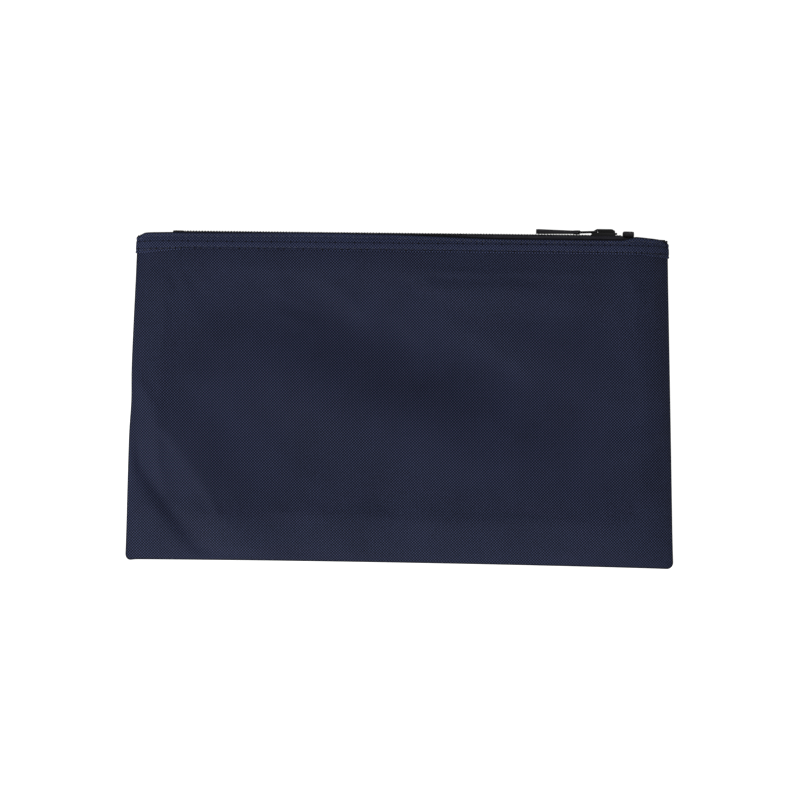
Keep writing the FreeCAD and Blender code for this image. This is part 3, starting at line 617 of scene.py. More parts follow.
def enamel_finish(name, colour, rough=0.24, worn=0.35):
    """Dark enamel over cast metal, slightly orange-peeled and rubbed in places."""
    finish = Finish(name)
    peel = finish.grain(1300.0, 2.0)
    rubbed = finish.grain(420.0, 4.0).ramp(0.56, 0.78)
    shade = finish.mix(rubbed * worn, colour, [part * 5 + 0.01 for part in colour])
    finish.set(Base_Color=shade, Roughness=rough + rubbed * 0.22 + peel * 0.08)
    finish.set(Coat_Weight=0.35, Coat_Roughness=0.15, Specular_IOR_Level=0.5)
    finish.bump(peel, 0.02 * MM, 0.35)
    return finish.material


def steel_finish(name, colour):
    finish = Finish(name)
    x, _y, _z = finish.body_parts()
    lines = finish.node("ShaderNodeTexNoise", {"noise_dimensions": "1D"},
                        {"W": x * 9000.0, "Scale": 1.0, "Detail": 2.0}, "Fac")
    finish.set(Base_Color=finish.mix(lines, [part * 0.8 for part in colour], colour))
    finish.set(Roughness=0.28 + lines * 0.2, Metallic=1.0)
    finish.bump(lines, 0.01 * MM, 0.2)
    return finish.material


BAND_PAINTED_LIGHT = 1.42          # painted light: the same cloth as the panels, its warp colour painted this much lighter
finishes = {}                 # every material by its slot, filled by make_finishes


def make_finishes():
    c = cloth()
    z = zipper()
    lit_warp = tuple(c.warp_lit_colour)
    shaded_weft = tuple(c.weft_shaded_colour)
    pitches = (c.thread_pitch_x, c.thread_pitch_y)
    finishes["pouch_cloth"] = woven_cloth("pouch_cloth", lit_warp, shaded_weft, *pitches)
    # the bands' cloth painted lighter than the panels' same cloth
    band_lit_warp = tuple(part * BAND_PAINTED_LIGHT for part in lit_warp)
    finishes["band_cloth"] = woven_cloth("band_cloth", band_lit_warp, shaded_weft, *pitches,
                                         hole_shade=stitch_hole_shade)
    tape = tuple(z.tape_colour)
    # the tape's weft floats are its own colour painted in shade
    tape_shaded = tuple(part * 0.45 for part in tape)
    finishes["zip_tape"] = woven_cloth("zip_tape", tape, tape_shaded, 0.42 * MM, 0.36 * MM,
                                       rough=0.7, sheen=0.05)
    finishes["binding_tape"] = thread_finish("binding_tape", tape, 3200.0)
    finishes["coil_filament"] = filament_finish("coil_filament", tuple(z.filament_colour))
    finishes["filler_cord"] = thread_finish("filler_cord", tape, 4200.0)
    finishes["tack_thread"] = thread_finish("tack_thread", tuple(z.tack_colour))
    finishes["sewing_thread"] = thread_finish("sewing_thread", tuple(c.stitch_colour))
    enamel = tuple(z.enamel_colour)
    finishes["slider_metal"] = enamel_finish("slider_metal", enamel)
    finishes["ring_metal"] = enamel_finish("ring_metal", enamel, rough=0.2)
    finishes["pull_finish"] = enamel_finish("pull_finish", tuple(z.pull_colour), rough=0.38)
    finishes["spring_steel"] = steel_finish("spring_steel", (0.35, 0.35, 0.36))


# ------------------------------------------------------------------ panels
FOLD_STEPS = 6
TURN_STEPS = 2
RIM_SHADE_START = 0.55              # "rim" value, for painted shade, where a panel's cloth starts to turn


def fold_rows(edge, outward, lean, radius, turn_in, up):
    """Points that carry the cloth round its fold and back inside; up is 1 on the front."""
    rows = []
    for step in range(1, FOLD_STEPS + 1):
        angle = lean + (math.pi - lean) * step / FOLD_STEPS
        rows.append((edge + outward * radius * (math.sin(angle) - math.sin(lean))
                     + Vector((0, 0, up * radius * (math.cos(angle) - math.cos(lean)))),
                     radius * (angle - lean)))
    last, arc = rows[-1]
    for step in range(1, TURN_STEPS + 1):
        back = turn_in * step / TURN_STEPS
        rows.append((last - outward * back, arc + back))
    return rows


def pouch_panel(name, height_at, top_at, radius, up, columns=150, rows=96):
    """Cloth panel over the pouch's outline, with folded side and bottom edges."""
    across = graded(columns)
    upward = graded(rows, 0.6)
    points = []
    corner = cloth().corner_radius
    for share_y in upward:
        for share_x in across:
            guess_y = BOTTOM_Y + (PANEL_EDGE_Y - BOTTOM_Y) * share_y
            x = left_x(guess_y) + (right_x(guess_y) - left_x(guess_y)) * share_x
            low = bottom_line(x)
            y = low + (top_at(x) - low) * share_y
            x, y = rounded_corner(x, y, left_x(y), right_x(y), low, corner)
            points.append(Vector((x, y, height_at(x, y))))
    wide = columns + 1
    faces = strip_faces(rows + 1, wide)
    if up < 0:
        faces = [tuple(reversed(face)) for face in faces]
    flat = [(point.x, point.y) for point in points]
    rim = [0.0] * len(points)
    loop = [row * wide for row in range(rows, 0, -1)] + list(range(wide))
    loop += [row * wide + columns for row in range(1, rows + 1)]
    count = len(loop)
    outwards = []
    for index in range(count):
        before = points[loop[max(index - 1, 0)]]
        after = points[loop[min(index + 1, count - 1)]]
        tangent = (after - before).to_2d().normalized()
        outwards.append(Vector((tangent.y, -tangent.x, 0.0)))
    start = len(points)
    depth = FOLD_STEPS + TURN_STEPS
    for index, vertex in enumerate(loop):
        point = points[vertex]
        inner = point - outwards[index] * LEAN_REACH
        rise = (height_at(inner.x, inner.y) - point.z) * up
        lean = math.atan2(max(rise, 0.0), LEAN_REACH)
        turn_in = cloth().turn_in
        rim[vertex] = RIM_SHADE_START
        rim += [1.0] * depth
        for place, distance in fold_rows(point, outwards[index], lean, radius, turn_in, up):
            points.append(place)
            away = outwards[index] * distance
            flat.append((point.x + away.x, point.y + away.y))
    for index in range(count - 1):
        for step in range(depth):
            here = loop[index] if step == 0 else start + index * depth + step - 1
            there = loop[index + 1] if step == 0 else start + (index + 1) * depth + step - 1
            face = (here, start + index * depth + step, start + (index + 1) * depth + step, there)
            faces.append(face if up > 0 else tuple(reversed(face)))
    panel = new_object(name, points, faces, flat)
    mark_rim_shade(panel, rim)
    return panel, start


def pin_edges(panel, first_fold_vertex):
    """Vertex weights that hold the folded seams and the sewn band strip still."""
    held = panel.vertex_groups.new(name="held")
    for vertex in panel.data.vertices:
        x, y, _z = vertex.co
        side = min(x - left_x(y), right_x(y) - x)
        low = y - bottom_line(x)
        edge = 1 - smooth(min(side / HELD_SIDE, low / HELD_BOTTOM))
        sewn = smooth((y - (BAND_LOW_Y - HELD_ZIP)) / (HELD_ZIP - 1 * MM))
        weight = 1.0 if vertex.index >= first_fold_vertex else max(edge, sewn)
        held.add([vertex.index], weight, "REPLACE")
    return held


def drape(panel, first_fold_vertex, frames=14, most=1.7 * MM):
    """Lets the cloth settle under its weight and a breath of air, then keeps the result."""
    held = pin_edges(panel, first_fold_vertex)
    before = np.array([vertex.co for vertex in panel.data.vertices])
    settling = panel.modifiers.new("settling", "CLOTH")
    rules = settling.settings
    rules.quality = 6
    rules.mass = 0.02
    rules.effector_weights.gravity = 0.12
    rules.tension_stiffness = 25
    rules.compression_stiffness = 12
    rules.shear_stiffness = 8
    rules.bending_stiffness = 1.2
    rules.vertex_group_mass = held.name
    rules.pin_stiffness = 1.0
    rules.use_pressure = True
    rules.uniform_pressure_force = 0.25
    settling.collision_settings.use_collision = False
    settling.point_cache.frame_start = 1
    settling.point_cache.frame_end = frames
    scene = bpy.context.scene
    for number in range(1, frames + 1):
        scene.frame_set(number)
    evaluated = panel.evaluated_get(bpy.context.evaluated_depsgraph_get())
    after = np.array([vertex.co for vertex in evaluated.data.vertices])
    panel.modifiers.clear()
    scene.frame_set(1)
    move = after - before
    length = np.linalg.norm(move, axis=1, keepdims=True)
    move *= most * np.tanh(length / most) / np.maximum(length, 1e-9)
    panel.data.vertices.foreach_set("co", (before + move).ravel())
    panel.data.update()
    panel.vertex_groups.clear()
    print(f"cloth settled: mean {length.mean() / MM:.2f} mm, most {length.max() / MM:.2f} mm")


class BAG_OT_panels(bpy.types.Operator):
    """Builds the front and back panels with their turned seams"""
    bl_idname = "deposit_bag.panels"
    bl_label = "Panels"

    def execute(self, context):
        radius = cloth().fold_radius
        front, first_fold = pouch_panel("front_panel_cloth", front_height,
                                        lambda x: min(PANEL_EDGE_Y, band_edge(x) - 0.35 * MM),
                                        radius, 1)
        drape(front, first_fold)
        back, _first = pouch_panel("back_panel_cloth", back_height, lambda x: PANEL_EDGE_Y,
                                   radius * BACK_FOLD, -1, columns=110, rows=70)
        for panel, node, levels in ((front, "front_panel", 1), (back, "back_panel", 0)):
            panel = thicken(panel, FABRIC, levels)
            set_finish(panel, finishes["pouch_cloth"])
            place_piece(panel, "bag", "pouch_cloth", node)
        return {"FINISHED"}


# ------------------------------------------------------------------ bands
def side_fold(x_edge, y, z, sign, radius, lean, angle):
    """Point and outward direction on the cloth as it turns round a side seam."""
    out = math.sin(angle) - math.sin(lean)
    down = math.cos(angle) - math.cos(lean)
    point = Vector((x_edge + sign * radius * out, y, z + radius * down))
    return point, Vector((sign * math.sin(angle), 0.0, math.cos(angle)))


def front_normal(x, y):
    step = 0.4 * MM
    low_x = max(x - step, left_x(y))
    high_x = min(x + step, right_x(y))
    slope_x = (front_height(high_x, y) - front_height(low_x, y)) / (high_x - low_x)
    slope_y = (front_height(x, y + step) - front_height(x, y - step)) / (2 * step)
    return Vector((-slope_x, -slope_y, 1.0)).normalized()


def front_column(share, y_at, levels):
    """Points of one lengthwise station of a strip that lies on the front cloth."""
    column = []
    foot = y_at(0.0)
    x = left_x(foot) + (right_x(foot) - left_x(foot)) * min(max(share, 0.0), 1.0)
    for level, lift in levels:
        y = level(x)
        if 0.0 <= share <= 1.0:
            point = Vector((x, y, front_height(x, y)))
            normal = front_normal(x, min(y, PANEL_EDGE_Y))
        else:
            sign = 1 if share > 1 else -1
            over = share - 1 if share > 1 else -share
            edge = right_x(y) if sign > 0 else left_x(y)
            inward = edge - sign * LEAN_REACH
            rise = front_height(inward, y) - front_height(edge, y)
            lean = math.atan2(max(rise, 0.0), LEAN_REACH)
            angle = lean + (math.pi * 0.8 - lean) * over
            point, normal = side_fold(edge, y, front_height(edge, y), sign,
                                      cloth().fold_radius, lean, angle)
        column.append(point + normal * lift)
    return column


def lengthwise_shares(count=230, folds=5):
    main = list(graded(count, 0.6))
    start = [-(folds - step) / folds for step in range(folds)]
    end = [1 + (step + 1) / folds for step in range(folds)]
    return start + main + end


def band_profile():
    """Closed section of the folded band: (place along its width, lift over the cloth)."""
    rest = FABRIC / 2
    foot = [(0.30, rest), (-0.10, rest + 0.10 * MM), (-0.22, rest + 0.32 * MM),
            (0.02, rest + 0.58 * MM), (0.42, rest + 0.66 * MM), (0.80, rest + 0.50 * MM),
            (1.05, rest + 0.34 * MM), (1.35, rest + 0.46 * MM), (1.9, rest + 0.56 * MM),
            (2.8, rest + 0.58 * MM)]
    head = [(-3.0, rest + 0.58 * MM), (-2.1, rest + 0.54 * MM), (-1.75, rest + 0.38 * MM),
            (-1.5, rest + 0.36 * MM), (-1.2, rest + 0.48 * MM), (-0.7, rest + 0.54 * MM),
            (-0.28, rest + 0.42 * MM), (-0.04, rest + 0.16 * MM), (0.0, rest - 0.16 * MM),
            (-0.22, rest - 0.38 * MM), (-0.6, rest - 0.30 * MM)]
    tail = [(-0.9, rest), (-2.4, rest), (2.4, rest), (1.0, rest)]
    return foot, head, tail


def band_station(offset, from_edge):
    """Function that gives y at a station x, from the zip edge or from the free edge."""
    if from_edge:
        return lambda x: band_edge(x) + offset * (1 + 0.35 * covered(x))
    return lambda x: band_foot(x) + offset


def front_band():
    foot, head, tail = band_profile()
    levels = [(band_station(place * MM, False), lift) for place, lift in foot]
    levels += [(band_station(place * MM, True), lift) for place, lift in head]
    levels += [(band_station(place * MM, place < 0), lift) for place, lift in tail]
    shares = lengthwise_shares()
    columns = [front_column(share, band_foot, levels) for share in shares]
    ring = len(levels)
    points = [point for column in columns for point in column]
    flat = []
    for column in columns:
        travelled = 0.0
        for index, point in enumerate(column):
            if index:
                travelled += (point - column[index - 1]).length
            flat.append((point.x, column[0].y + travelled))
    band = new_object("front_band_cloth", points, tube_faces(len(shares), ring), flat)
    # painted shade on the band's rolled zip edge
    rim = [0.0] * ring
    for index, (place, _lift) in enumerate(head, start=len(foot)):
        rim[index] = smooth((place + 0.75) / 0.7)
    mark_rim_shade(band, rim * len(shares))
    return band


def back_band():
    """Flat folded strip under the back panel's edge, stitched along two rows."""
    # place up from the free edge and drop below the band's top, in millimetres
    ring_at = [(0.0, 0.10), (-0.15, 0.3), (0.0, 0.5), (1.0, 0.44), (1.3, 0.36), (1.6, 0.44),
               (5.2, 0.5), (5.5, 0.4), (5.9, 0.5), (6.8, 0.5), (7.05, 0.25), (6.8, 0.0),
               (1.0, 0.0)]
    top = back_band_high.z
    points = []
    flat = []
    shares = lengthwise_shares(120, 0)
    for share in shares:
        for place, drop in ring_at:
            y = BAND_LOW_Y + place * MM
            x = left_x(y) + (right_x(y) - left_x(y)) * share
            points.append(Vector((x, y, top - drop * MM)))
            flat.append((x, y))
    faces = tube_faces(len(shares), len(ring_at))
    band = new_object("back_band_cloth", points, faces, flat)
    mark_rim_shade(band, [0.0] * len(points))
    return band


def outward_normals(thing):
    work = bmesh.new()
    work.from_mesh(thing.data)
    bmesh.ops.recalc_face_normals(work, faces=work.faces)
    work.to_mesh(thing.data)
    work.free()


class BAG_OT_bands(bpy.types.Operator):
    """Builds the two facing bands along the zip"""
    bl_idname = "deposit_bag.bands"
    bl_label = "Bands"

    def execute(self, context):
        for band, node in ((front_band(), "front_zip_band"), (back_band(), "back_zip_band")):
            outward_normals(band)
            set_finish(band, finishes["band_cloth"])
            place_piece(band, "bag", "band_cloth", node)
        return {"FINISHED"}


# ------------------------------------------------------------------ zip tapes and chain
def tape_path(x, front):
    """Section of one tape in Y and Z, from under the panel round to the chain."""
    far = abs(x) - coil_high.x
    pinch = smooth(far / (20 * MM))
    mid_y = ZIP_FACE_Y - TAPE / 2
    bend = 0.42 * MM
    start = back_tape_low.y + 1 * MM
    if not front:
        top = back_tape_low.z + TAPE / 2
        lip = back_coil_high.z + (back_tape_low.z + 0.6 * MM - back_coil_high.z) * pinch
        lip = max(lip, top + 0.3 * MM)
        return [(start, top), (mid_y - 3 * MM, top), (mid_y - bend, top),
                (mid_y - 0.3 * bend, top + 0.3 * bend), (mid_y, top + bend),
                (mid_y, (top + bend + lip) / 2), (mid_y, lip)]
    top = zip_line(x) - FABRIC / 2 - TAPE / 2
    lip = min(coil_low.z + (EDGE_Z - 0.9 * MM - coil_low.z) * pinch, top - 0.3 * MM)
    wall = top - bend
    plain = [(start, top), (mid_y - 3 * MM, top), (mid_y - 1.5 * MM, top), (mid_y - bend, top),
             (mid_y - 0.3 * bend, top - 0.3 * bend), (mid_y, wall),
             (mid_y, wall * 0.85 + lip * 0.15), (mid_y, wall * 0.7 + lip * 0.3),
             (mid_y, wall * 0.5 + lip * 0.5), (mid_y, wall * 0.25 + lip * 0.75), (mid_y, lip)]
    shelf = SLIDER_TOP + TAPE / 2 + 0.1 * MM
    out = mid_y + 1.25 * MM
    puckered = [(start, top), (mid_y - 2.4 * MM, top), (mid_y - 1.0 * MM, top + 0.06 * MM),
                (mid_y, shelf + 0.58 * MM), (out - 0.5 * MM, shelf + 0.56 * MM),
                (out - 0.06 * MM, shelf + 0.42 * MM), (out, shelf + 0.2 * MM),
                (out - 0.25 * MM, shelf + 0.01 * MM), (mid_y + 0.25 * MM, shelf),
                (mid_y, shelf - 0.3 * MM), (mid_y, lip)]
    pucker = (1 - covered(x)) * smooth((coil_high.x + 2 * MM - abs(x)) / (4 * MM))
    return [(y1 + (y2 - y1) * pucker, z1 + (z2 - z1) * pucker)
            for (y1, z1), (y2, z2) in zip(plain, puckered)]


def zip_tape(name, front):
    shares = list(graded(200, 0.5))
    points = []
    flat = []
    inset = 0.8 * MM
    start = left_x(PANEL_EDGE_Y) + inset
    end = right_x(PANEL_EDGE_Y) - inset
    for share in shares:
        x = start * (1 - share) + end * share
        travelled = 0.0
        before = None
        for y, z in tape_path(x, front):
            point = Vector((x, y, z))
            if before is not None:
                travelled += (point - before).length
            before = point
            points.append(point)
            flat.append((x, travelled))
    section = len(points) // len(shares)
    faces = strip_faces(len(shares), section)
    if front:
        faces = [tuple(reversed(face)) for face in faces]
    return thicken(new_object(name, points, faces, flat), TAPE, 1)


def input_socket(group, name, kind, default):
    socket = group.interface.new_socket(name=name, in_out="INPUT", socket_type=kind)
    if default is not None:
        socket.default_value = default
    return socket


class Tree:
    """Geometry Nodes group with short calls for its nodes and links."""

    def __init__(self, name, inputs):
        self.group = bpy.data.node_groups.new(name, "GeometryNodeTree")
        self.group.interface.new_socket(name="Geometry", in_out="INPUT",
                                        socket_type="NodeSocketGeometry")
        self.names = {}
        for key, (kind, default) in inputs.items():
            self.names[key] = input_socket(self.group, key, kind, default).identifier
        self.group.interface.new_socket(name="Geometry", in_out="OUTPUT",
                                        socket_type="NodeSocketGeometry")
        self.source = self.group.nodes.new("NodeGroupInput")
        self.sink = self.group.nodes.new("NodeGroupOutput")

    def take(self, key):
        return self.source.outputs[key]

    def add(self, kind, settings=None, inputs=None, output=0):
        node = self.group.nodes.new(kind)
        for key, setting in (settings or {}).items():
            setattr(node, key, setting)
        for key, given in (inputs or {}).items():
            if isinstance(given, bpy.types.NodeSocket):
                self.group.links.new(given, node.inputs[key])
            else:
                node.inputs[key].default_value = given
        return node.outputs[output]

    def math(self, operation, first, second):
        return self.add("ShaderNodeMath", {"operation": operation}, {0: first, 1: second})

    def finish(self, geometry, material_key="Material"):
        real = self.add("GeometryNodeRealizeInstances", None, {0: geometry})
        rounded = self.add("GeometryNodeSetShadeSmooth", None, {0: real})
        done = self.add("GeometryNodeSetMaterial", None,
                        {"Geometry": rounded, "Material": self.take(material_key)})
        self.group.links.new(done, self.sink.inputs[0])

    def run(self, thing, values):
        """Runs the tree on an object and leaves its result there as a plain mesh."""
        modifier = thing.modifiers.new(self.group.name, "NODES")
        modifier.node_group = self.group
        for key, given in values.items():
            modifier[self.names[key]] = given
        return settle_mesh(thing)


def coil_tree():
    """Oval helix of filament along X."""
    number = "NodeSocketFloat"
    tree = Tree("coil_turns", {
        "Length": (number, 0.2), "Turns": (number, 100.0), "Start X": (number, 0.0),
        "Centre Y": (number, 0.0), "Centre Z": (number, 0.0), "Half Y": (number, 0.001),
        "Half Z": (number, 0.001), "Filament": (number, 0.0003),
        "Material": ("NodeSocketMaterial", None)})
    helix = tree.add("GeometryNodeCurveSpiral", None, {
        "Resolution": 14, "Rotations": tree.take("Turns"), "Start Radius": 1.0,
        "End Radius": 1.0, "Height": tree.take("Length"), "Reverse": False})
    place = tree.add("GeometryNodeInputPosition")
    parts = tree.group.nodes.new("ShaderNodeSeparateXYZ")
    tree.group.links.new(place, parts.inputs[0])
    x = tree.math("ADD", parts.outputs[2], tree.take("Start X"))
    y = tree.math("ADD", tree.math("MULTIPLY", parts.outputs[0], tree.take("Half Y")),
                  tree.take("Centre Y"))
    z = tree.math("ADD", tree.math("MULTIPLY", parts.outputs[1], tree.take("Half Z")),
                  tree.take("Centre Z"))
    spot = tree.add("ShaderNodeCombineXYZ", None, {0: x, 1: y, 2: z})
    moved = tree.add("GeometryNodeSetPosition", None, {"Geometry": helix, "Position": spot})
    ring = tree.add("GeometryNodeCurvePrimitiveCircle", None,
                    {"Resolution": 7, "Radius": tree.take("Filament")})
    tube = tree.add("GeometryNodeCurveToMesh", None,
                    {"Curve": moved, "Profile Curve": ring, "Fill Caps": True})
    tree.finish(tube)
    return tree


def coil_turns(tree, name, front):
    settings = zipper()
    low, high = (coil_low, coil_high) if front else (back_coil_low, back_coil_high)
    reach = coil_high.z - CHAIN_Z + settings.mesh_depth
    half_z = reach / 2 - settings.filament_radius
    sign = 1 if front else -1
    centre_z = CHAIN_Z + sign * (reach / 2 - settings.mesh_depth)
    pitch = settings.coil_pitch
    shift = 0.0 if front else pitch / 2
    start = low.x + settings.filament_radius + shift
    turns = math.floor((high.x - settings.filament_radius - start) / pitch)
    thing = new_object(name, [(0, 0, 0)], [])
    return tree.run(thing, {
        "Length": turns * pitch, "Turns": float(turns), "Start X": start,
        "Centre Y": (ZIP_FACE_Y + CREST_Y) / 2, "Centre Z": centre_z,
        "Half Y": (CREST_Y - ZIP_FACE_Y) / 2 - settings.filament_radius,
        "Half Z": half_z * sign, "Filament": settings.filament_radius,
        "Material": finishes["coil_filament"]})


def twisted_cord(name, node):
    """Three-ply cord along X in the place of a filler cord."""
    low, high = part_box(node)
    middle_y = (low.y + high.y) / 2
    middle_z = (low.z + high.z) / 2
    radius = (high.y - low.y) / 2
    rings = 480
    sides = 12
    points = []
    for ring in range(rings + 1):
        x = low.x + (high.x - low.x) * ring / rings
        twist = (x - low.x) / (2.6 * MM) * 2 * math.pi
        for side in range(sides):
            angle = 2 * math.pi * side / sides
            reach = radius * (0.86 + 0.14 * math.cos(3 * angle))
            points.append((x, middle_y + reach * math.cos(angle + twist),
                           middle_z + reach * math.sin(angle + twist)))
    cord = new_object(name, points, tube_faces(rings + 1, sides))
    outward_normals(cord)
    return cord


class BAG_OT_zip_chain(bpy.types.Operator):
    """Builds the zip tapes, the two meshed coils and their filler cords"""
    bl_idname = "deposit_bag.zip_chain"
    bl_label = "Zip chain"

    def execute(self, context):
        tree = coil_tree()
        for side in ("front", "back"):
            tape = zip_tape(f"{side}_tape_weave", side == "front")
            set_finish(tape, finishes["zip_tape"])
            place_piece(tape, "bag", "zip_tape", f"{side}_zip_tape")
            coil = coil_turns(tree, f"{side}_coil_turns", side == "front")
            place_piece(coil, "bag", "coil_filament", f"{side}_coil")
            cord = twisted_cord(f"{side}_cord_plies", f"{side}_coil_cord")
            set_finish(cord, finishes["filler_cord"])
            place_piece(cord, "bag", "filler_cord", f"{side}_coil_cord")
        return {"FINISHED"}


# ------------------------------------------------------------------ stitching
def stitch_tree():
    """Short thread loops at even steps along a row."""
    number = "NodeSocketFloat"
    tree = Tree("stitch_row", {
        "Pitch": (number, 0.0033), "Length": (number, 0.0024), "Width": (number, 0.0005),
        "Height": (number, 0.0003), "Seed": ("NodeSocketInt", 3),
        "Material": ("NodeSocketMaterial", None)})
    row = tree.add("GeometryNodeResampleCurve", {"mode": "LENGTH"},
                   {"Curve": tree.take("Geometry"), "Length": tree.take("Pitch")})
    points = tree.group.nodes.new("GeometryNodeCurveToPoints")
    points.mode = "EVALUATED"
    tree.group.links.new(row, points.inputs[0])
    ball = tree.add("GeometryNodeMeshUVSphere", None,
                    {"Segments": 8, "Rings": 6, "Radius": 0.5})
    size = tree.add("ShaderNodeCombineXYZ", None,
                    {0: tree.take("Height"), 1: tree.take("Width"), 2: tree.take("Length")})
    shaped = tree.add("GeometryNodeTransform", None, {"Geometry": ball, "Scale": size})
    jitter = tree.add("FunctionNodeRandomValue", {"data_type": "FLOAT_VECTOR"},
                      {0: (0.9, 0.9, 0.93), 1: (1.1, 1.1, 1.05), "Seed": tree.take("Seed")})
    laid = tree.add("GeometryNodeInstanceOnPoints", None,
                    {"Points": points.outputs[0], "Instance": shaped,
                     "Rotation": points.outputs[3], "Scale": jitter})
    tree.finish(laid)
    return tree


def row_curve(name, route):
    data = bpy.data.curves.new(name, "CURVE")
    data.dimensions = "3D"
    data.twist_mode = "Z_UP"
    spline = data.splines.new("POLY")
    spline.points.add(len(route) - 1)
    for point, place in zip(spline.points, route):
        point.co = (*place, 1.0)
    row = bpy.data.objects.new(name, data)
    bpy.context.scene.collection.objects.link(row)
    return row


def front_row(place, from_edge, lift):
    """Route of a stitch row over the front band."""
    route = []
    at = band_station(place, from_edge)
    low = left_x(BAND_LOW_Y) + ROW_INSET
    high = right_x(BAND_LOW_Y) - ROW_INSET
    pitch = cloth().stitch_pitch
    start = math.ceil(low / pitch) * pitch
    count = int((high - start) / (pitch / 3))
    for step in range(count + 1):
        x = start + step * pitch / 3
        y = at(x)
        normal = front_normal(x, min(y, PANEL_EDGE_Y))
        point = Vector((x, y, front_height(x, y))) + normal * (FABRIC / 2 + lift)
        route.append(point)
    return route


def back_row(y):
    z = back_band_low.z + 0.02 * MM
    low = left_x(y) + 2.5 * MM
    high = right_x(y) - 2.5 * MM
    return [Vector((low + (high - low) * step / 40, y, z)) for step in range(41)]


class BAG_OT_stitching(bpy.types.Operator):
    """Sews the visible rows along the bands"""
    bl_idname = "deposit_bag.stitching"
    bl_label = "Stitching"

    def execute(self, context):
        tree = stitch_tree()
        rows = (
            ("front_edge_stitches", front_row(-EDGE_ROW, True, 0.38 * MM), "front_edge_stitching"),
            ("front_band_stitches", front_row(BAND_ROW, False, 0.35 * MM), "front_band_stitching"),
            ("back_edge_stitches", back_row(BAND_LOW_Y + 5.5 * MM), "back_edge_stitching"),
            ("back_band_stitches", back_row(BAND_LOW_Y + 1.3 * MM), "back_band_stitching"),
        )
        for name, route, node in rows:
            row = tree.run(row_curve(name, route), {
                "Pitch": cloth().stitch_pitch, "Length": 2.0 * MM, "Width": 0.44 * MM,
                "Height": 0.28 * MM, "Material": finishes["sewing_thread"]})
            place_piece(row, "bag", "sewing_thread", node)
        return {"FINISHED"}


# ------------------------------------------------------------------ tacks
def tack_lump(name, node, wraps):
    """Dense thread tack: a soft core under close wraps of thread."""
    low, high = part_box(node)
    centre = (low + high) / 2
    half = (high - low) / 2
    rings = wraps * 6
    sides = 28
    points = []
    for ring in range(rings + 1):
        share = ring / rings
        x = low.x + (high.x - low.x) * share
        ends = max(1 - abs(2 * share - 1) ** 5, 0.0) ** 0.5
        swell = 0.88 + 0.08 * math.sin(share * wraps * math.pi) ** 2
        for side in range(sides):
            angle = 2 * math.pi * side / sides
            c = math.cos(angle)
            s = math.sin(angle)
            lump = 0.07 * noise.noise(Vector((x * 700, c * 1.7, s * 1.7 + wraps)))
            reach = (swell + lump) * (0.7 + 0.3 * ends)
            y = centre.y + half.y * reach * math.copysign(abs(c) ** 0.75, c)
            z = centre.z + half.z * reach * math.copysign(abs(s) ** 0.6, s)
            points.append((x, y, z))
    lump = new_object(name, points, tube_faces(rings + 1, sides))
    outward_normals(lump)
    return lump


class BAG_OT_tacks(bpy.types.Operator):
    """Builds the thread tacks that close both ends of the zip"""
    bl_idname = "deposit_bag.tacks"
    bl_label = "Tacks"

    def execute(self, context):
        for name, node, wraps in (("closed_end_wraps", "closed_end_tack", 11),
                                  ("open_end_wraps", "open_end_tack", 11)):
            lump = tack_lump(name, node, wraps)
            set_finish(lump, finishes["tack_thread"])
            place_piece(lump, "bag", "tack_thread", node)
        return {"FINISHED"}


# ------------------------------------------------------------------ slider, ring and pull
def softened(name, node, width, segments=3):
    """Copy of a hard piece with its edges rounded."""
    source = frame["nodes"][node]
    mesh = source.data.copy()
    work = bmesh.new()
    work.from_mesh(mesh)
    bmesh.ops.remove_doubles(work, verts=work.verts, dist=0.002 * MM)
    bmesh.ops.dissolve_limit(work, angle_limit=math.radians(1.0), verts=work.verts,
                             edges=work.edges)
    bmesh.ops.recalc_face_normals(work, faces=work.faces)
    work.to_mesh(mesh)
    work.free()
    for attribute in [item.name for item in mesh.attributes if item.name == "custom_normal"]:
        mesh.attributes.remove(mesh.attributes[attribute])
    thing = bpy.data.objects.new(name, mesh)
    bpy.context.scene.collection.objects.link(thing)
    bevel = thing.modifiers.new("edges", "BEVEL")
    bevel.width = width
    bevel.segments = segments
    bevel.limit_method = "ANGLE"
    bevel.angle_limit = math.radians(24)
    bevel.use_clamp_overlap = True
    bevel.harden_normals = False
    thing = settle_mesh(thing)
    thing.data.shade_smooth()
    thing.data.set_sharp_from_angle(angle=math.radians(38))
    return thing


class BAG_OT_slider(bpy.types.Operator):
    """Builds the slider, its crown and spring, and the pull"""
    bl_idname = "deposit_bag.slider"
    bl_label = "Slider and pull"

    def execute(self, context):
        pieces = (
            ("slider_casting", "slider_body", 0.24 * MM, "slider", "slider_metal"),
            ("slider_bridge", "slider_crown", 0.26 * MM, "slider", "slider_metal"),
            ("spring_leaf", "lock_spring", 0.05 * MM, "slider", "spring_steel"),
            ("pull_grip", "pull_tab", 0.34 * MM, "pull_tab", "pull_finish"),
        )
        for name, node, width, body, slot in pieces:
            piece = softened(name, node, width)
            set_finish(piece, finishes[slot])
            place_piece(piece, body, slot, node)
        return {"FINISHED"}


class BAG_OT_inside(bpy.types.Operator):
    """Gives the ring and the sewing inside the seams their finishes"""
    bl_idname = "deposit_bag.inside"
    bl_label = "Ring and inner sewing"

    def execute(self, context):
        slots = {row["node"]: row["material_slot"] for row in frame["record"]["subparts"]}
        for name in ("pull_ring", "left_seam_thread", "right_seam_thread", "bottom_seam_thread",
                     "left_seam_binding", "right_seam_binding", "bottom_seam_binding"):
            set_finish(frame["nodes"][name], finishes[slots[name]])
        return {"FINISHED"}


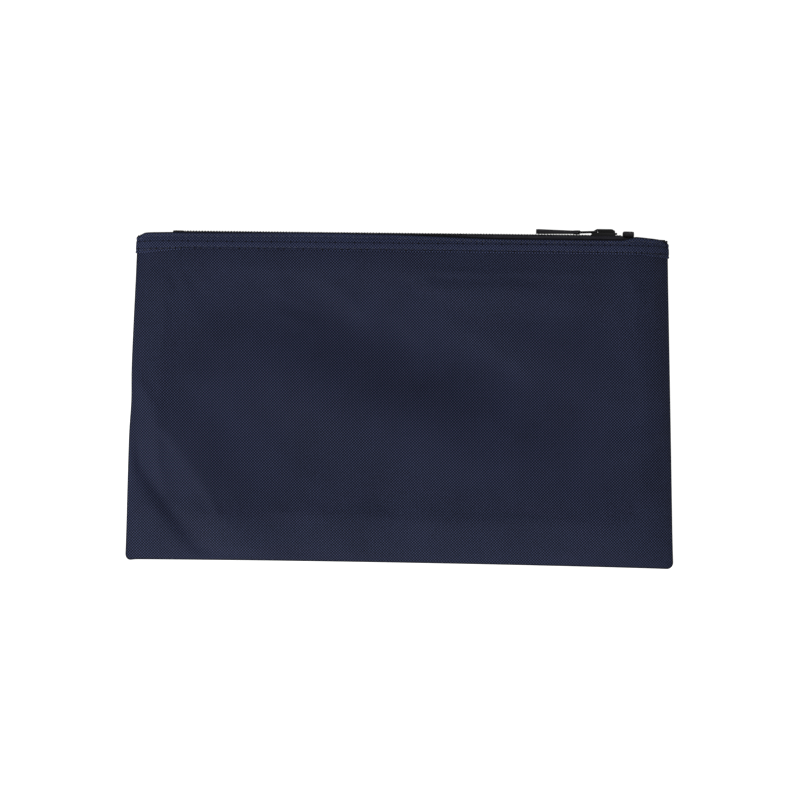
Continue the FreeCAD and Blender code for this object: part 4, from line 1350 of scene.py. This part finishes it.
# ------------------------------------------------------------------ stage
class BAG_OT_stage(bpy.types.Operator):
    """Sets the white floor, the soft lights and the camera above the bag"""
    bl_idname = "deposit_bag.stage"
    bl_label = "Stage"

    def execute(self, context):
        settings = stage()
        scene = context.scene
        span = 3.0
        drop = -0.05 * MM
        corners = [(-span, -span, drop), (span, -span, drop), (span, span, drop),
                   (-span, span, drop)]
        floor = new_object("floor", corners, [(0, 1, 2, 3)], smooth_faces=False)
        paper = Finish("white_paper")
        seen = paper.node("ShaderNodeLightPath", output="Is Camera Ray")
        paper.set(Base_Color=(0.30, 0.30, 0.30), Roughness=0.9, Emission_Strength=1.0)
        paper.set(Emission_Color=paper.mix(seen, (0.06, 0.06, 0.06), (1.0, 1.0, 1.0)))
        set_finish(floor, paper.material)
        scene.world = bpy.data.worlds.new("even_fill")
        scene.world.use_nodes = True
        sky = scene.world.node_tree.nodes["Background"]
        sky.inputs["Color"].default_value = (1.0, 1.0, 1.0, 1.0)
        sky.inputs["Strength"].default_value = settings.world_strength
        # name, place, power and side of each soft square light, all aimed at the bag's middle
        lamps = (("key", (-0.92, -1.0, 0.84), settings.key_power, 0.5),
                 ("rim", (0.5, 1.1, 0.9), settings.key_power * 0.14, 0.6),
                 ("side", (1.3, -0.3, 0.42), settings.key_power * 0.18, 0.6))
        for name, place, power, size in lamps:
            lamp = bpy.data.lights.new(name, "AREA")
            lamp.energy = power
            lamp.size = size
            holder = bpy.data.objects.new(name, lamp)
            holder.location = place
            aim = Vector((0, 0, 0)) - Vector(place)
            holder.rotation_euler = aim.to_track_quat("-Z", "Y").to_euler()
            scene.collection.objects.link(holder)
        eye = bpy.data.cameras.new("overhead")
        eye.sensor_width = 36.0
        distance = settings.camera_height
        eye.lens = eye.sensor_width * (distance - 8 * MM) / settings.view_width
        eye.clip_start = 0.01
        camera = bpy.data.objects.new("overhead", eye)
        camera.location = (settings.aim_x, settings.aim_y, distance)
        camera.rotation_euler = (0.0, 0.0, settings.roll)
        scene.collection.objects.link(camera)
        scene.camera = camera
        scene.view_settings.view_transform = "Standard"
        scene.view_settings.look = "None"
        return {"FINISHED"}


class BAG_PT_panel(bpy.types.Panel):
    """Deposit bag tools"""
    bl_idname = "BAG_PT_panel"
    bl_label = "Deposit Bag"
    bl_space_type = "VIEW_3D"
    bl_region_type = "UI"
    bl_category = "Deposit Bag"

    def draw(self, context):
        for settings in (cloth(), zipper(), stage()):
            box = self.layout.box()
            for name in settings.__annotations__:
                box.prop(settings, name)
        for operator in OPERATORS:
            self.layout.operator(operator.bl_idname)


OPERATORS = (BAG_OT_stage, BAG_OT_panels, BAG_OT_bands, BAG_OT_zip_chain, BAG_OT_stitching,
             BAG_OT_tacks, BAG_OT_slider, BAG_OT_inside)


def register():
    for item in (*SETTINGS, *OPERATORS, BAG_PT_panel):
        bpy.utils.register_class(item)
    bpy.types.Scene.bag_cloth = bpy.props.PointerProperty(type=ClothSettings)
    bpy.types.Scene.bag_zip = bpy.props.PointerProperty(type=ZipSettings)
    bpy.types.Scene.bag_stage = bpy.props.PointerProperty(type=StageSettings)


def unregister():
    for name in ("bag_cloth", "bag_zip", "bag_stage"):
        delattr(bpy.types.Scene, name)
    for item in reversed((*SETTINGS, *OPERATORS, BAG_PT_panel)):
        bpy.utils.unregister_class(item)


def main():
    register()
    make_finishes()
    bpy.ops.deposit_bag.stage()
    bpy.ops.deposit_bag.panels()
    bpy.ops.deposit_bag.bands()
    bpy.ops.deposit_bag.zip_chain()
    bpy.ops.deposit_bag.stitching()
    bpy.ops.deposit_bag.tacks()
    bpy.ops.deposit_bag.slider()
    bpy.ops.deposit_bag.inside()
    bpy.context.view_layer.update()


if __name__ == "__main__":
    main()
